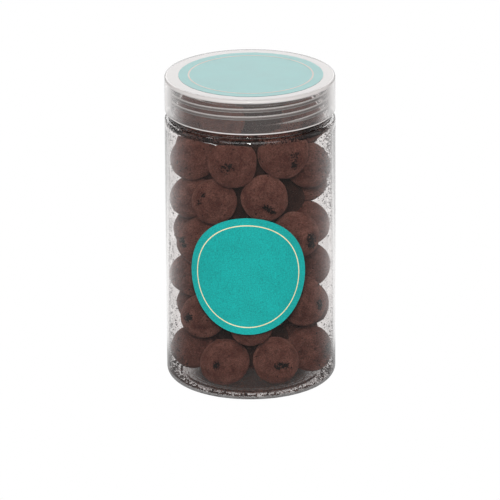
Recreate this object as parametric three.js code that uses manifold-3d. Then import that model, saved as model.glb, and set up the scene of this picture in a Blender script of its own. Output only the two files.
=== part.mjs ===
// A clear screw-top jar filled with cocoa dusted hazelnut dragees.
// Millimetres, +Z up. The jar stands on z = 0 with its axis on the Z axis, and its label faces -Y.
// An azimuth is in degrees round the Z axis: 0 is the front (-Y) and 90 is +X.

import * as THREE from "three";
import { mergeVertices } from "three/addons/utils/BufferGeometryUtils.js";
import Module from "manifold-3d";

const wasm = await Module();
wasm.setup();

// ---- Driving dimensions -------------------------------------------------------------------------

const BODY_RADIUS = 35; // outside of the straight wall
const WALL = 1.0;
const ROUND_SIDES = 42; // facets round the jar and the lid

// base: a flat resting ring, with the middle pushed up inside it
const HEEL_ROUND = 3.7; // outside rounding between wall and resting ring
const REST_INNER_RADIUS = 29.6;
const REST_INSIDE_RADIUS = 29.9; // the same corner on the inside of the wall
const PUSH_UP_RADIUS = 27.4; // where the raised middle begins
const PUSH_UP_EDGE = 1.3; // height of its underside there
const PUSH_UP_CENTRE = 1.5; // and on the axis
const GATE_RADIUS = 4; // flat spot in the middle of the base

// shoulder, transfer ring and neck
const SHOULDER_START = 111.0;
const SHOULDER_ROUND = 1.8;
const SHOULDER_TOP_RADIUS = 33.0;
const RING_RADIUS = 34.0;
const RING_LOW = 113.5;
const RING_HIGH = 114.4;
const RING_SLOPE = 0.4; // how far its upper face falls from neck to edge
const NECK_RADIUS = 32.4;
const NECK_WALL = 1.2;
const MOUTH_HEIGHT = 128.3;
const MOUTH_CHAMFER = 0.4;
const THROAT_RADIUS = NECK_RADIUS - NECK_WALL;
const THROAT_LOW = 112.6; // the throat widens into the shoulder below this height

// screw thread on the neck, right-handed
const THREAD_PITCH = 3.2;
const THREAD_START = 118.6; // height of its middle line at the first end
const THREAD_TURNS = 2.4;
const THREAD_BEAD = 0.6; // radius of the bead's section
const THREAD_SIDES = 6;
const THREAD_STEPS_PER_TURN = 24;

// lid
const LID_RADIUS = 34.9;
const LID_BOTTOM = 115.25;
const LID_TOP = 130;
const LID_SKIRT = 1.2;
const LID_PLATE = 1.4;
const LID_EDGE_ROUND = 1.0;
const LID_CHAMFER = 0.3; // on the skirt's lower edges
const SEAL_RADIUS = 30.6; // outside of the ring that plugs the mouth
const SEAL_WALL = 0.9;
const SEAL_DEPTH = 2.6;

// paper stickers
const PAPER = 0.12;
const STICKER_GAP = 0.15;
const LID_STICKER_RADIUS = 29.6;
const LID_STICKER_OFFSET = [0.4, -0.4]; // put on a little off the middle
const LABEL_RADIUS = 25.2; // of the round label before it is bent round the jar
const LABEL_HEIGHT = 54.8;
const LABEL_AZIMUTH = -2.2;
const LABEL_RINGS = 7;
const LABEL_SPOKES = 32;

// dragees
const HEAP_CLEARANCE = 0.35; // from wall and floor to the nearest sweet
const FLOOR_HEIGHT = PUSH_UP_CENTRE + WALL; // where the lowest sweets stand
const DRAGEE_RADIUS = 9.3; // of an ordinary sweet
const DRAGEE_SPREAD = 0.5; // how far one may be larger or smaller
const DRAGEE_DETAIL = 3; // subdivisions of the octahedron that each is made from
const SETTLE_PASSES = 120;
const SHOWN_GIVE = 0.15; // how readily a placed sweet moves, where one at the back has 1
const CORE_RADIUS = 21;
const CORE_LOW = 8;
const CORE_HIGH = 104;
const CORE_TOP_RADIUS = 17;
const CORE_TOP = 114;
const CORE_SIDES = 14;

// Each row lies round the wall. Its level is the height of its sweets' middles, "shown" gives the
// azimuth, height and radius of those that can be seen from the front, from left to right, and
// "behind" is how many share the rest of the circle.
const ROWS = [
    {
        level: 12.6,
        behind: 3,
        shown: [[-79, 13.4, 9.1], [-27, 12.6, 9.8], [25, 13.4, 9.6], [79, 12.6, 9.3]],
    },
    {
        level: 28.5,
        behind: 2,
        shown: [[-124, 24, 9.0], [-53, 30.4, 9.3], [0, 30.2, 9.1], [67, 35, 9.9], [104, 27, 9.0]],
    },
    {
        level: 46.0,
        behind: 3,
        shown: [[-76, 48, 9.1], [-24, 47.5, 9.4], [27, 47.5, 9.3], [101, 45.2, 9.0]],
    },
    {
        level: 64.0,
        behind: 2,
        shown: [[-112, 61.5, 8.9], [-64, 62.9, 9.6], [-8, 65.5, 9.3], [50, 66, 9.5], [102, 64.6, 9.1]],
    },
    {
        level: 81.5,
        behind: 3,
        shown: [[-79, 79.6, 9.0], [-39, 81.6, 9.1], [13, 85, 9.5], [111, 82.8, 8.8]],
    },
    {
        level: 97.5,
        behind: 2,
        shown: [[-114, 93.5, 8.6], [-73, 94, 9.3], [-17, 98.9, 10], [35, 102.3, 10.2], [81, 92, 9.3]],
    },
    {
        level: 113.0,
        behind: 2,
        shown: [[-135, 112, 9.1], [-80, 114, 9.0], [-30, 117.2, 9.0], [85, 109.5, 9.2]],
    },
];

// The sweets behind rise and fall by HEIGHT_SWAY and grow and shrink by DRAGEE_SPREAD. How fast they
// do so, in radians, is set from one to the next and from one row to the next.
const HEIGHT_SWAY = 2;
const HEIGHT_STEP = 1.7;
const HEIGHT_ROW_STEP = 0.3;
const SIZE_STEP = 2.4;

// sweets that fill the middle of the jar, one above the other
const COLUMN_START = 12;
const COLUMN_STEP = 19;
const COLUMN_COUNT = 6;
const COLUMN_SWAY = 1.2; // how far each stands off the axis
const COLUMN_TURN = 137; // degrees from one to the next

// ---- Materials ----------------------------------------------------------------------------------

const clearPlastic = new THREE.MeshStandardMaterial({
    color: 0xf2f2f2,
    roughness: 0.05,
    metalness: 0,
    transparent: true,
    opacity: 0.25,
});
const milkyPlastic = new THREE.MeshStandardMaterial({
    color: 0xe9e5e4,
    roughness: 0.15,
    metalness: 0,
    transparent: true,
    opacity: 0.6,
});
const turquoisePaper = new THREE.MeshStandardMaterial({ color: 0x22a9a2, roughness: 0.5, metalness: 0 });
const cocoaDust = new THREE.MeshStandardMaterial({ color: 0x553c37, roughness: 1, metalness: 0 });

// ---- Small helpers ------------------------------------------------------------------------------

const radians = (degrees) => (degrees * Math.PI) / 180;

// A point at a distance from the axis, at an azimuth and a height.
function around(distance, azimuth, height) {
    const angle = radians(azimuth);
    return new THREE.Vector3(distance * Math.sin(angle), -distance * Math.cos(angle), height);
}

// Points of a round corner in a profile, about (x, y), from one angle to another in degrees.
function corner(x, y, radius, from, to, steps) {
    const points = [];
    for (let i = 0; i <= steps; i += 1) {
        const angle = radians(from + ((to - from) * i) / steps);
        points.push(new THREE.Vector2(x + radius * Math.cos(angle), y + radius * Math.sin(angle)));
    }
    return points;
}

const pair = (x, y) => new THREE.Vector2(x, y);

// A profile of (distance from axis, height) points turned round the Z axis.
function turned(profile, sides) {
    const geometry = new THREE.LatheGeometry(profile, sides);
    geometry.rotateX(Math.PI / 2);
    return geometry;
}

function toManifold(geometry) {
    const bare = geometry.clone();
    bare.deleteAttribute("normal");
    bare.deleteAttribute("uv");
    const merged = mergeVertices(bare, 1e-4);
    const corners = merged.index.array;
    const kept = [];
    for (let i = 0; i < corners.length; i += 3) {
        const [a, b, c] = [corners[i], corners[i + 1], corners[i + 2]];
        if (a !== b && b !== c && c !== a) kept.push(a, b, c);
    }
    const vertProperties = new Float32Array(merged.attributes.position.array);
    return new wasm.Manifold(new wasm.Mesh({ numProp: 3, vertProperties, triVerts: new Uint32Array(kept) }));
}

function toGeometry(solid) {
    const mesh = solid.getMesh();
    const geometry = new THREE.BufferGeometry();
    geometry.setAttribute("position", new THREE.BufferAttribute(mesh.vertProperties, 3));
    geometry.setIndex(new THREE.BufferAttribute(mesh.triVerts, 1));
    geometry.computeVertexNormals();
    return geometry;
}

function named(name, geometry, material) {
    const mesh = new THREE.Mesh(geometry, material);
    mesh.name = name;
    return mesh;
}

// ---- Jar ----------------------------------------------------------------------------------------

// The neck's thread: a line that climbs evenly round the neck.
class ThreadLine extends THREE.Curve {
    getPoint(t, target = new THREE.Vector3()) {
        const turns = THREAD_TURNS * t;
        return target.copy(around(NECK_RADIUS, 360 * turns, THREAD_START + THREAD_PITCH * turns));
    }
}

function threadBead() {
    const section = new THREE.Shape();
    for (let i = 0; i < THREAD_SIDES; i += 1) {
        const angle = (2 * Math.PI * i) / THREAD_SIDES;
        const [x, y] = [THREAD_BEAD * Math.cos(angle), THREAD_BEAD * Math.sin(angle)];
        if (i === 0) section.moveTo(x, y);
        else section.lineTo(x, y);
    }
    section.closePath();
    const steps = Math.round(THREAD_TURNS * THREAD_STEPS_PER_TURN);
    return new THREE.ExtrudeGeometry(section, { steps, extrudePath: new ThreadLine(), bevelEnabled: false });
}

function jarProfile() {
    const innerRadius = BODY_RADIUS - WALL;
    const heelMiddle = BODY_RADIUS - HEEL_ROUND;
    const shoulderTop = SHOULDER_START + SHOULDER_ROUND;
    const outside = [
        pair(0, PUSH_UP_CENTRE),
        pair(GATE_RADIUS, PUSH_UP_CENTRE),
        pair(PUSH_UP_RADIUS, PUSH_UP_EDGE),
        pair(REST_INNER_RADIUS, 0),
        ...corner(heelMiddle, HEEL_ROUND, HEEL_ROUND, -90, 0, 5),
        ...corner(BODY_RADIUS - SHOULDER_ROUND, SHOULDER_START, SHOULDER_ROUND, 0, 75, 3),
        pair(SHOULDER_TOP_RADIUS, shoulderTop),
        pair(RING_RADIUS, RING_LOW),
        pair(RING_RADIUS, RING_HIGH),
        pair(NECK_RADIUS, RING_HIGH + RING_SLOPE),
        pair(NECK_RADIUS, MOUTH_HEIGHT - MOUTH_CHAMFER),
        pair(NECK_RADIUS - MOUTH_CHAMFER, MOUTH_HEIGHT),
    ];
    const inside = [
        pair(THROAT_RADIUS, MOUTH_HEIGHT),
        pair(THROAT_RADIUS, THROAT_LOW),
        ...corner(innerRadius - SHOULDER_ROUND, SHOULDER_START - WALL, SHOULDER_ROUND, 75, 0, 3),
        ...corner(heelMiddle, HEEL_ROUND, HEEL_ROUND - WALL, 0, -90, 4),
        pair(REST_INSIDE_RADIUS, WALL),
        pair(PUSH_UP_RADIUS, PUSH_UP_EDGE + WALL),
        pair(GATE_RADIUS, PUSH_UP_CENTRE + WALL),
        pair(0, PUSH_UP_CENTRE + WALL),
    ];
    return [...outside, ...inside];
}

function jarBody() {
    const blown = toManifold(turned(jarProfile(), ROUND_SIDES));
    return toGeometry(blown.add(toManifold(threadBead())));
}

// ---- Lid ----------------------------------------------------------------------------------------

function lidGeometry() {
    const edge = LID_RADIUS - LID_EDGE_ROUND;
    const skirtInside = LID_RADIUS - LID_SKIRT;
    const underside = LID_TOP - LID_PLATE;
    const sealInside = SEAL_RADIUS - SEAL_WALL;
    const profile = [
        pair(0, underside),
        pair(sealInside, underside),
        pair(sealInside, underside - SEAL_DEPTH),
        pair(SEAL_RADIUS - LID_CHAMFER, underside - SEAL_DEPTH),
        pair(SEAL_RADIUS, underside),
        pair(skirtInside, underside),
        pair(skirtInside, LID_BOTTOM + LID_CHAMFER),
        pair(skirtInside + LID_CHAMFER, LID_BOTTOM),
        pair(LID_RADIUS - LID_CHAMFER, LID_BOTTOM),
        pair(LID_RADIUS, LID_BOTTOM + LID_CHAMFER),
        ...corner(edge, LID_TOP - LID_EDGE_ROUND, LID_EDGE_ROUND, 0, 90, 4),
        pair(0, LID_TOP),
    ];
    return turned(profile, ROUND_SIDES);
}

// ---- Stickers -----------------------------------------------------------------------------------

function lidSticker() {
    const low = LID_TOP + STICKER_GAP;
    const profile = [
        pair(0, low),
        pair(LID_STICKER_RADIUS, low),
        pair(LID_STICKER_RADIUS, low + PAPER),
        pair(0, low + PAPER),
    ];
    const geometry = turned(profile, LABEL_SPOKES);
    geometry.translate(LID_STICKER_OFFSET[0], LID_STICKER_OFFSET[1], 0);
    return geometry;
}

// A round piece of paper bent round the jar. Its faces are rings of points about its middle, and a
// point that lies some way sideways on the flat paper lies the same way along the curved wall.
function frontLabel() {
    const inner = BODY_RADIUS + STICKER_GAP;
    const positions = [];
    const addFace = (distance) => {
        for (let ring = 0; ring <= LABEL_RINGS; ring += 1) {
            const spokes = ring === 0 ? 1 : LABEL_SPOKES;
            for (let spoke = 0; spoke < spokes; spoke += 1) {
                const reach = (LABEL_RADIUS * ring) / LABEL_RINGS;
                const angle = (2 * Math.PI * spoke) / LABEL_SPOKES;
                const turn = ((reach * Math.cos(angle)) / inner) * (180 / Math.PI);
                const point = around(distance, LABEL_AZIMUTH + turn, LABEL_HEIGHT + reach * Math.sin(angle));
                positions.push(...point.toArray());
            }
        }
    };
    addFace(inner + PAPER);
    addFace(inner);
    const faceSize = 1 + LABEL_RINGS * LABEL_SPOKES;
    const at = (ring, spoke) => (ring === 0 ? 0 : 1 + (ring - 1) * LABEL_SPOKES + (spoke % LABEL_SPOKES));
    const triangles = [];
    for (let spoke = 0; spoke < LABEL_SPOKES; spoke += 1) {
        for (let ring = 0; ring < LABEL_RINGS; ring += 1) {
            const [a, b] = [at(ring, spoke), at(ring + 1, spoke)];
            const [c, d] = [at(ring + 1, spoke + 1), at(ring, spoke + 1)];
            triangles.push(a, b, c, faceSize + a, faceSize + c, faceSize + b);
            if (ring > 0) triangles.push(a, c, d, faceSize + a, faceSize + d, faceSize + c);
        }
        const [near, next] = [at(LABEL_RINGS, spoke), at(LABEL_RINGS, spoke + 1)];
        triangles.push(near, faceSize + near, faceSize + next, near, faceSize + next, next);
    }
    const geometry = new THREE.BufferGeometry();
    geometry.setAttribute("position", new THREE.Float32BufferAttribute(positions, 3));
    geometry.setIndex(triangles);
    geometry.computeVertexNormals();
    return geometry;
}

// ---- Dragees ------------------------------------------------------------------------------------

// How far from the axis the middle of a sweet can lie: it meets the wall, or higher up the throat.
function farthestOut(height, radius) {
    const atWall = BODY_RADIUS - WALL - HEAP_CLEARANCE - radius;
    const below = Math.max(0, THROAT_LOW - height);
    if (below >= radius) return atWall;
    return Math.min(atWall, THROAT_RADIUS - HEAP_CLEARANCE - Math.sqrt(radius ** 2 - below ** 2));
}

// Every sweet before the heap has settled: its middle, its radius, how readily it moves and whether
// it leans on the wall.
function pouredSweets() {
    const sweets = [];
    const onWall = (azimuth, height, radius, give) => {
        const middle = around(farthestOut(height, radius), azimuth, height);
        sweets.push({ middle, radius, give, leans: true });
    };
    for (const { level, behind, shown } of ROWS) {
        for (const [azimuth, height, radius] of shown) onWall(azimuth, height, radius, SHOWN_GIVE);
        const first = shown[shown.length - 1][0];
        const gap = (shown[0][0] + 360 - first) / (behind + 1);
        for (let k = 1; k <= behind; k += 1) {
            const radius = DRAGEE_RADIUS + DRAGEE_SPREAD * Math.sin(SIZE_STEP * k + level);
            const rise = HEIGHT_SWAY * Math.sin(HEIGHT_STEP * k + HEIGHT_ROW_STEP * level);
            onWall(first + gap * k, level + rise, radius, 1);
        }
    }
    for (let k = 0; k < COLUMN_COUNT; k += 1) {
        const middle = around(COLUMN_SWAY, COLUMN_TURN * k, COLUMN_START + COLUMN_STEP * k);
        sweets.push({ middle, radius: DRAGEE_RADIUS, give: 1, leans: false });
    }
    return sweets;
}

// The sweets push each other apart until they only touch, inside the wall and above the floor.
function settled(sweets) {
    const step = new THREE.Vector3();
    for (let pass = 0; pass < SETTLE_PASSES; pass += 1) {
        const moves = sweets.map(() => new THREE.Vector3());
        for (let i = 0; i < sweets.length; i += 1) {
            for (let j = i + 1; j < sweets.length; j += 1) {
                const [one, other] = [sweets[i], sweets[j]];
                step.subVectors(one.middle, other.middle);
                const distance = step.length();
                const overlap = one.radius + other.radius - distance;
                if (overlap <= 0) continue;
                step.multiplyScalar((0.5 * overlap) / distance / (one.give + other.give));
                moves[i].addScaledVector(step, one.give);
                moves[j].addScaledVector(step, -other.give);
            }
        }
        sweets.forEach((sweet, i) => {
            const { middle, radius } = sweet;
            middle.add(moves[i]);
            const farthest = farthestOut(middle.z, radius);
            const distance = Math.hypot(middle.x, middle.y);
            if (sweet.leans || distance > farthest) {
                middle.x *= farthest / distance;
                middle.y *= farthest / distance;
            }
            middle.z = Math.max(middle.z, FLOOR_HEIGHT + HEAP_CLEARANCE + radius);
        });
    }
    return sweets;
}

// The sweets that show, with few sides, joined by a plain core in the middle of the jar.
function drageeHeap() {
    const core = turned(
        [
            pair(0, CORE_LOW),
            pair(CORE_RADIUS, CORE_LOW),
            pair(CORE_RADIUS, CORE_HIGH),
            pair(CORE_TOP_RADIUS, CORE_TOP),
            pair(0, CORE_TOP),
        ],
        CORE_SIDES,
    );
    const solids = settled(pouredSweets()).map(({ middle, radius }) => {
        const ball = new THREE.OctahedronGeometry(radius, DRAGEE_DETAIL);
        ball.rotateZ(middle.z);
        ball.translate(middle.x, middle.y, middle.z);
        return toManifold(ball);
    });
    return toGeometry(solids.reduce((heap, solid) => heap.add(solid), toManifold(core)));
}

// ---- The whole ----------------------------------------------------------------------------------

const group = new THREE.Group();
group.add(named("jar_body", jarBody(), clearPlastic));
group.add(named("dragee_heap", drageeHeap(), cocoaDust));
group.add(named("lid", lidGeometry(), milkyPlastic));
group.add(named("lid_sticker", lidSticker(), turquoisePaper));
group.add(named("front_label", frontLabel(), turquoisePaper));

export default group;
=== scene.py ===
"""Looks of a clear screw-top jar filled with cocoa dusted hazelnut dragees.

Lengths are in millimetres until a mesh is made, and in metres from there on. +Z is up, the jar
stands on z = 0 with its axis on the Z axis, and its label faces -Y. An azimuth is in degrees round
the Z axis: 0 is the front (-Y) and 90 is +X.
"""

import logging
import math
from collections.abc import Callable
from dataclasses import dataclass, field
from enum import Enum

import bpy
import numpy as np
from mathutils import Matrix, Vector


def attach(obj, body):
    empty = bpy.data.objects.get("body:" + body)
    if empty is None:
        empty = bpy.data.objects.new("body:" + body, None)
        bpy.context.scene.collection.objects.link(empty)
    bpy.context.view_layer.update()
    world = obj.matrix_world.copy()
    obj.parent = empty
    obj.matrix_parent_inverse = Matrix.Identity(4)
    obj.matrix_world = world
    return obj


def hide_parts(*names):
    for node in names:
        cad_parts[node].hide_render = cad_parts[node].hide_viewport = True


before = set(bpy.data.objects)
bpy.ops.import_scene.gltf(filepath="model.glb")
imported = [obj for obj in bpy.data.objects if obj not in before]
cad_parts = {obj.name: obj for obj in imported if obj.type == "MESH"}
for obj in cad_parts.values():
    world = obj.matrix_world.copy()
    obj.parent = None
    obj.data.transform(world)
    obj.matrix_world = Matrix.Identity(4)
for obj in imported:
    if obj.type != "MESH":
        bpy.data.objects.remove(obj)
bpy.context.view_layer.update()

LOG = logging.getLogger("dragee_jar")
METRE = 0.001  # one millimetre in metres
ROOT = "root"
LABEL_GAP = 0.15  # glue between the front label and the wall
LID_LABEL_GAP = 0.02  # and between the other label and the lid


# ---- Plain helpers ------------------------------------------------------------------------------


def linear(code: str) -> tuple[float, float, float, float]:
    """Turns an sRGB hex code into the linear colour that a shader wants.

    Args:
        code: six hex digits, such as "22a9a2".

    Returns:
        Red, green and blue, and 1 for the alpha.
    """
    shares = [int(code[i : i + 2], 16) / 255 for i in (0, 2, 4)]
    red, green, blue = [s / 12.92 if s <= 0.04045 else ((s + 0.055) / 1.055) ** 2.4 for s in shares]
    return red, green, blue, 1.0


def around(distance: np.ndarray, azimuth: np.ndarray, height: np.ndarray) -> np.ndarray:
    """Points at a distance from the axis, at an azimuth in degrees and a height.

    Args:
        distance: distances from the Z axis.
        azimuth: azimuths in degrees.
        height: heights.

    Returns:
        An array whose last axis is x, y, z: x = d sin a, y = -d cos a, z = h.
    """
    distance, azimuth, height = np.broadcast_arrays(distance, np.radians(azimuth), height)
    return np.stack([distance * np.sin(azimuth), -distance * np.cos(azimuth), height], axis=-1)


def arc(x: float, z: float, radius: float, start: float, end: float, steps: int) -> np.ndarray:
    """Points of a round corner in a profile.

    Args:
        x: distance of its centre from the axis.
        z: height of its centre.
        radius: radius of the corner.
        start: first angle in degrees, 0 pointing outwards and 90 up.
        end: last angle in degrees.
        steps: number of pieces that the corner is cut into.

    Returns:
        steps + 1 points (x + r cos a, z + r sin a).
    """
    angle = np.radians(np.linspace(start, end, steps + 1))
    return np.stack([x + radius * np.cos(angle), z + radius * np.sin(angle)], axis=1)


def smooth(low: float, high: float, value: np.ndarray) -> np.ndarray:
    """A soft step: 0 below low, 1 above high, and 3t^2 - 2t^3 between them."""
    share = np.clip((value - low) / (high - low), 0, 1)
    return share * share * (3 - 2 * share)


def waves(points: np.ndarray, length: float, count: int, draw: np.random.Generator) -> np.ndarray:
    """Soft lumps over space: the mean of sine waves in random directions.

    Args:
        points: places to read, with x, y, z on the last axis.
        length: wavelength in millimetres.
        count: number of waves.
        draw: where the directions and phases come from.

    Returns:
        Values of about -1 to 1, one for each point.
    """
    ways = draw.normal(size=(count, 3))
    ways *= 2 * math.pi / length / np.linalg.norm(ways, axis=1, keepdims=True)
    phases = draw.uniform(0, 2 * math.pi, count)
    return np.sin(points @ ways.T + phases).sum(axis=-1) / math.sqrt(count)


# ---- Meshes -------------------------------------------------------------------------------------


def outward(points: np.ndarray, faces: list[np.ndarray]) -> list[np.ndarray]:
    """Turns every face of a closed shape round if it is inside out.

    Args:
        points: (n, 3) points.
        faces: arrays of vertex numbers, one row a face.

    Returns:
        The faces. The enclosed volume is the sum of a . (b x c) over the triangles that each face
        is cut into from its first corner, and it is positive when they point outwards.
    """
    volume = 0.0
    for kind in faces:
        for k in range(1, kind.shape[1] - 1):
            a, b, c = (points[kind[:, i]] for i in (0, k, k + 1))
            volume += float(np.einsum("ij,ij->", a, np.cross(b, c)))
    return faces if volume >= 0 else [kind[:, ::-1] for kind in faces]


def make_object(
    name: str, points: np.ndarray, faces: list[np.ndarray], crease: float = 35
) -> bpy.types.Object:
    """Makes a smooth-shaded object at the origin from points in millimetres.

    Args:
        name: name of the piece.
        points: (n, 3) points in millimetres.
        faces: arrays of vertex numbers, one row a face; each array has faces of one size.
        crease: edges sharper than this many degrees stay sharp.

    Returns:
        The object, linked to the scene.
    """
    mesh = bpy.data.meshes.new(name)
    faces = outward(points, faces)
    corners = np.concatenate([f.ravel() for f in faces]).astype(np.int32)
    sizes = np.concatenate([np.full(len(f), f.shape[1]) for f in faces]).astype(np.int32)
    starts = np.concatenate([[0], np.cumsum(sizes)[:-1]]).astype(np.int32)
    mesh.vertices.add(len(points))
    mesh.vertices.foreach_set("co", (points * METRE).astype(np.float32).ravel())
    mesh.loops.add(len(corners))
    mesh.loops.foreach_set("vertex_index", corners)
    mesh.polygons.add(len(sizes))
    mesh.polygons.foreach_set("loop_start", starts)
    mesh.update(calc_edges=True)
    mesh.shade_smooth()
    mesh.set_sharp_from_angle(angle=math.radians(crease))
    mesh.validate()
    piece = bpy.data.objects.new(name, mesh)
    bpy.context.scene.collection.objects.link(piece)
    return piece


def ring_quads(rows: int, sides: int, first: int = 0, closed: bool = False) -> np.ndarray:
    """Quads between neighbouring rings of points.

    Args:
        rows: number of rings.
        sides: points in a ring.
        first: number of the first ring's first point.
        closed: whether the last ring meets the first.

    Returns:
        (n, 4) vertex numbers, turned so that a profile that runs up with the axis on its left
        gives faces that point away from the axis.
    """
    row = np.arange(rows if closed else rows - 1)[:, None]
    side = np.arange(sides)[None, :]
    after, beside = (row + 1) % rows, (side + 1) % sides
    quads = np.stack(
        [row * sides + side, row * sides + beside, after * sides + beside, after * sides + side],
        axis=-1,
    )
    return quads.reshape(-1, 4) + first


def fan(middle: int, ring: int, sides: int, upwards: bool) -> np.ndarray:
    """Triangles from a middle point to a ring, facing up or down."""
    side = np.arange(sides)
    one, other = ring + side, ring + (side + 1) % sides
    centre = np.full(sides, middle)
    return np.stack([centre, one, other] if upwards else [centre, other, one], axis=1)


def capped_rings(rows: int, sides: int) -> list[np.ndarray]:
    """Faces of a closed shape.

    Args:
        rows: number of rings.
        sides: points in a ring.

    Returns:
        Faces of a shape whose points are its lowest one, the rings from below, and its highest one.
    """
    last_ring = 1 + (rows - 1) * sides
    return [
        ring_quads(rows, sides, first=1),
        fan(0, 1, sides, upwards=False),
        fan(1 + rows * sides, last_ring, sides, upwards=True),
    ]


def turned(name: str, profile: np.ndarray, sides: int) -> bpy.types.Object:
    """A profile turned round the Z axis, from a point on the axis to another on it.

    Args:
        name: name of the piece.
        profile: (n, 2) points (distance from axis, height), from the underside's middle round the
            outside, up and back to the axis.
        sides: number of points round.

    Returns:
        The closed object.
    """
    azimuth = np.arange(sides) * 360 / sides
    inner = profile[1:-1]
    distance = np.repeat(inner[:, :1], sides, axis=1)
    height = np.repeat(inner[:, 1:], sides, axis=1)
    rings = around(distance, azimuth[None], height).reshape(-1, 3)
    points = np.vstack([[0, 0, profile[0, 1]], rings, [0, 0, profile[-1, 1]]])
    return make_object(name, points, capped_rings(len(inner), sides))


def flat_disc(rings: int, spokes: int, radius: float) -> np.ndarray:
    """Flat polar grid: rows of (sideways, up) on rings about a middle point.

    Args:
        rings: number of rings outside the middle.
        spokes: points in a ring.
        radius: radius of the outer ring.

    Returns:
        (1 + rings * spokes, 2) points; ring i has radius R i / rings.
    """
    angle = np.arange(spokes) * 2 * math.pi / spokes
    reach = np.outer(np.arange(1, rings + 1) / rings, np.full(spokes, radius))
    grid = np.stack([reach * np.cos(angle), reach * np.sin(angle)], axis=-1).reshape(-1, 2)
    return np.vstack([[0.0, 0.0], grid])


def scattered(
    name: str, middles: np.ndarray, sizes: np.ndarray, frames: np.ndarray, draw: np.random.Generator
) -> bpy.types.Object:
    """Many small uneven crumbs as one mesh, each an octahedron with its corners pushed about.

    Args:
        name: name of the piece.
        middles: (n, 3) places of the crumbs.
        sizes: (n, 3) half extents along each crumb's own axes.
        frames: (n, 3, 3) the three axes of each crumb, as rows.
        draw: where the unevenness comes from.

    Returns:
        The joined object.
    """
    corners = np.array([[1, 0, 0], [0, 1, 0], [-1, 0, 0], [0, -1, 0], [0, 0, 1], [0, 0, -1]], float)
    count = len(middles)
    uneven = corners[None] * draw.uniform(0.6, 1.15, (count, 6, 1)) * sizes[:, None, :]
    points = middles[:, None, :] + np.einsum("nki,nij->nkj", uneven, frames)
    sides = np.array(
        [[0, 1, 4], [1, 2, 4], [2, 3, 4], [3, 0, 4], [1, 0, 5], [2, 1, 5], [3, 2, 5], [0, 3, 5]]
    )
    faces = (sides[None] + 6 * np.arange(count)[:, None, None]).reshape(-1, 3)
    return make_object(name, points.reshape(-1, 3), [faces], crease=180)


def paint_values(piece: bpy.types.Object, name: str, values: np.ndarray) -> None:
    """Stores one number a point on the mesh, for the material to read by name."""
    attribute = piece.data.attributes.new(name, "FLOAT", "POINT")
    attribute.data.foreach_set("value", values.astype(np.float32).ravel())


def settle(piece: bpy.types.Object, material: bpy.types.Material, slot: str, *nodes: str) -> None:
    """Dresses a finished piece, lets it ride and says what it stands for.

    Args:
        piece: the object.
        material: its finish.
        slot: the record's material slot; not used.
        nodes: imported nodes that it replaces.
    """
    piece.data.materials.append(material)
    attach(piece, ROOT)
    if nodes:
        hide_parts(*nodes)
    LOG.info(
        "%s: %d faces, stands for %s", piece.name, len(piece.data.polygons), nodes or "nothing"
    )


# ---- Materials ----------------------------------------------------------------------------------


def add_node(
    tree: bpy.types.NodeTree, kind: str, links: dict | None = None, **settings: str | bool
) -> bpy.types.Node:
    """Adds a node with its settings and links.

    Args:
        tree: the node tree.
        kind: the node's type without the "ShaderNode" in front.
        links: input name or number to an output socket, or to a plain value.
        settings: properties of the node.

    Returns:
        The node.
    """
    node = tree.nodes.new("ShaderNode" + kind)
    for name, value in settings.items():
        setattr(node, name, value)
    for name, value in (links or {}).items():
        if isinstance(value, bpy.types.NodeSocket):
            tree.links.new(value, node.inputs[name])
        else:
            node.inputs[name].default_value = value
    return node


def new_material(name: str) -> tuple[bpy.types.Material, bpy.types.NodeTree, bpy.types.Node]:
    """An empty material with its output, as (material, tree, output)."""
    material = bpy.data.materials.new(name)
    material.use_nodes = True
    material.node_tree.nodes.clear()
    output = add_node(material.node_tree, "OutputMaterial")
    return material, material.node_tree, output


def noise_scale(size: float) -> float:
    """The Scale of a noise on Object coordinates whose lumps are that many millimetres apart."""
    return 1 / (size * METRE)


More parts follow.
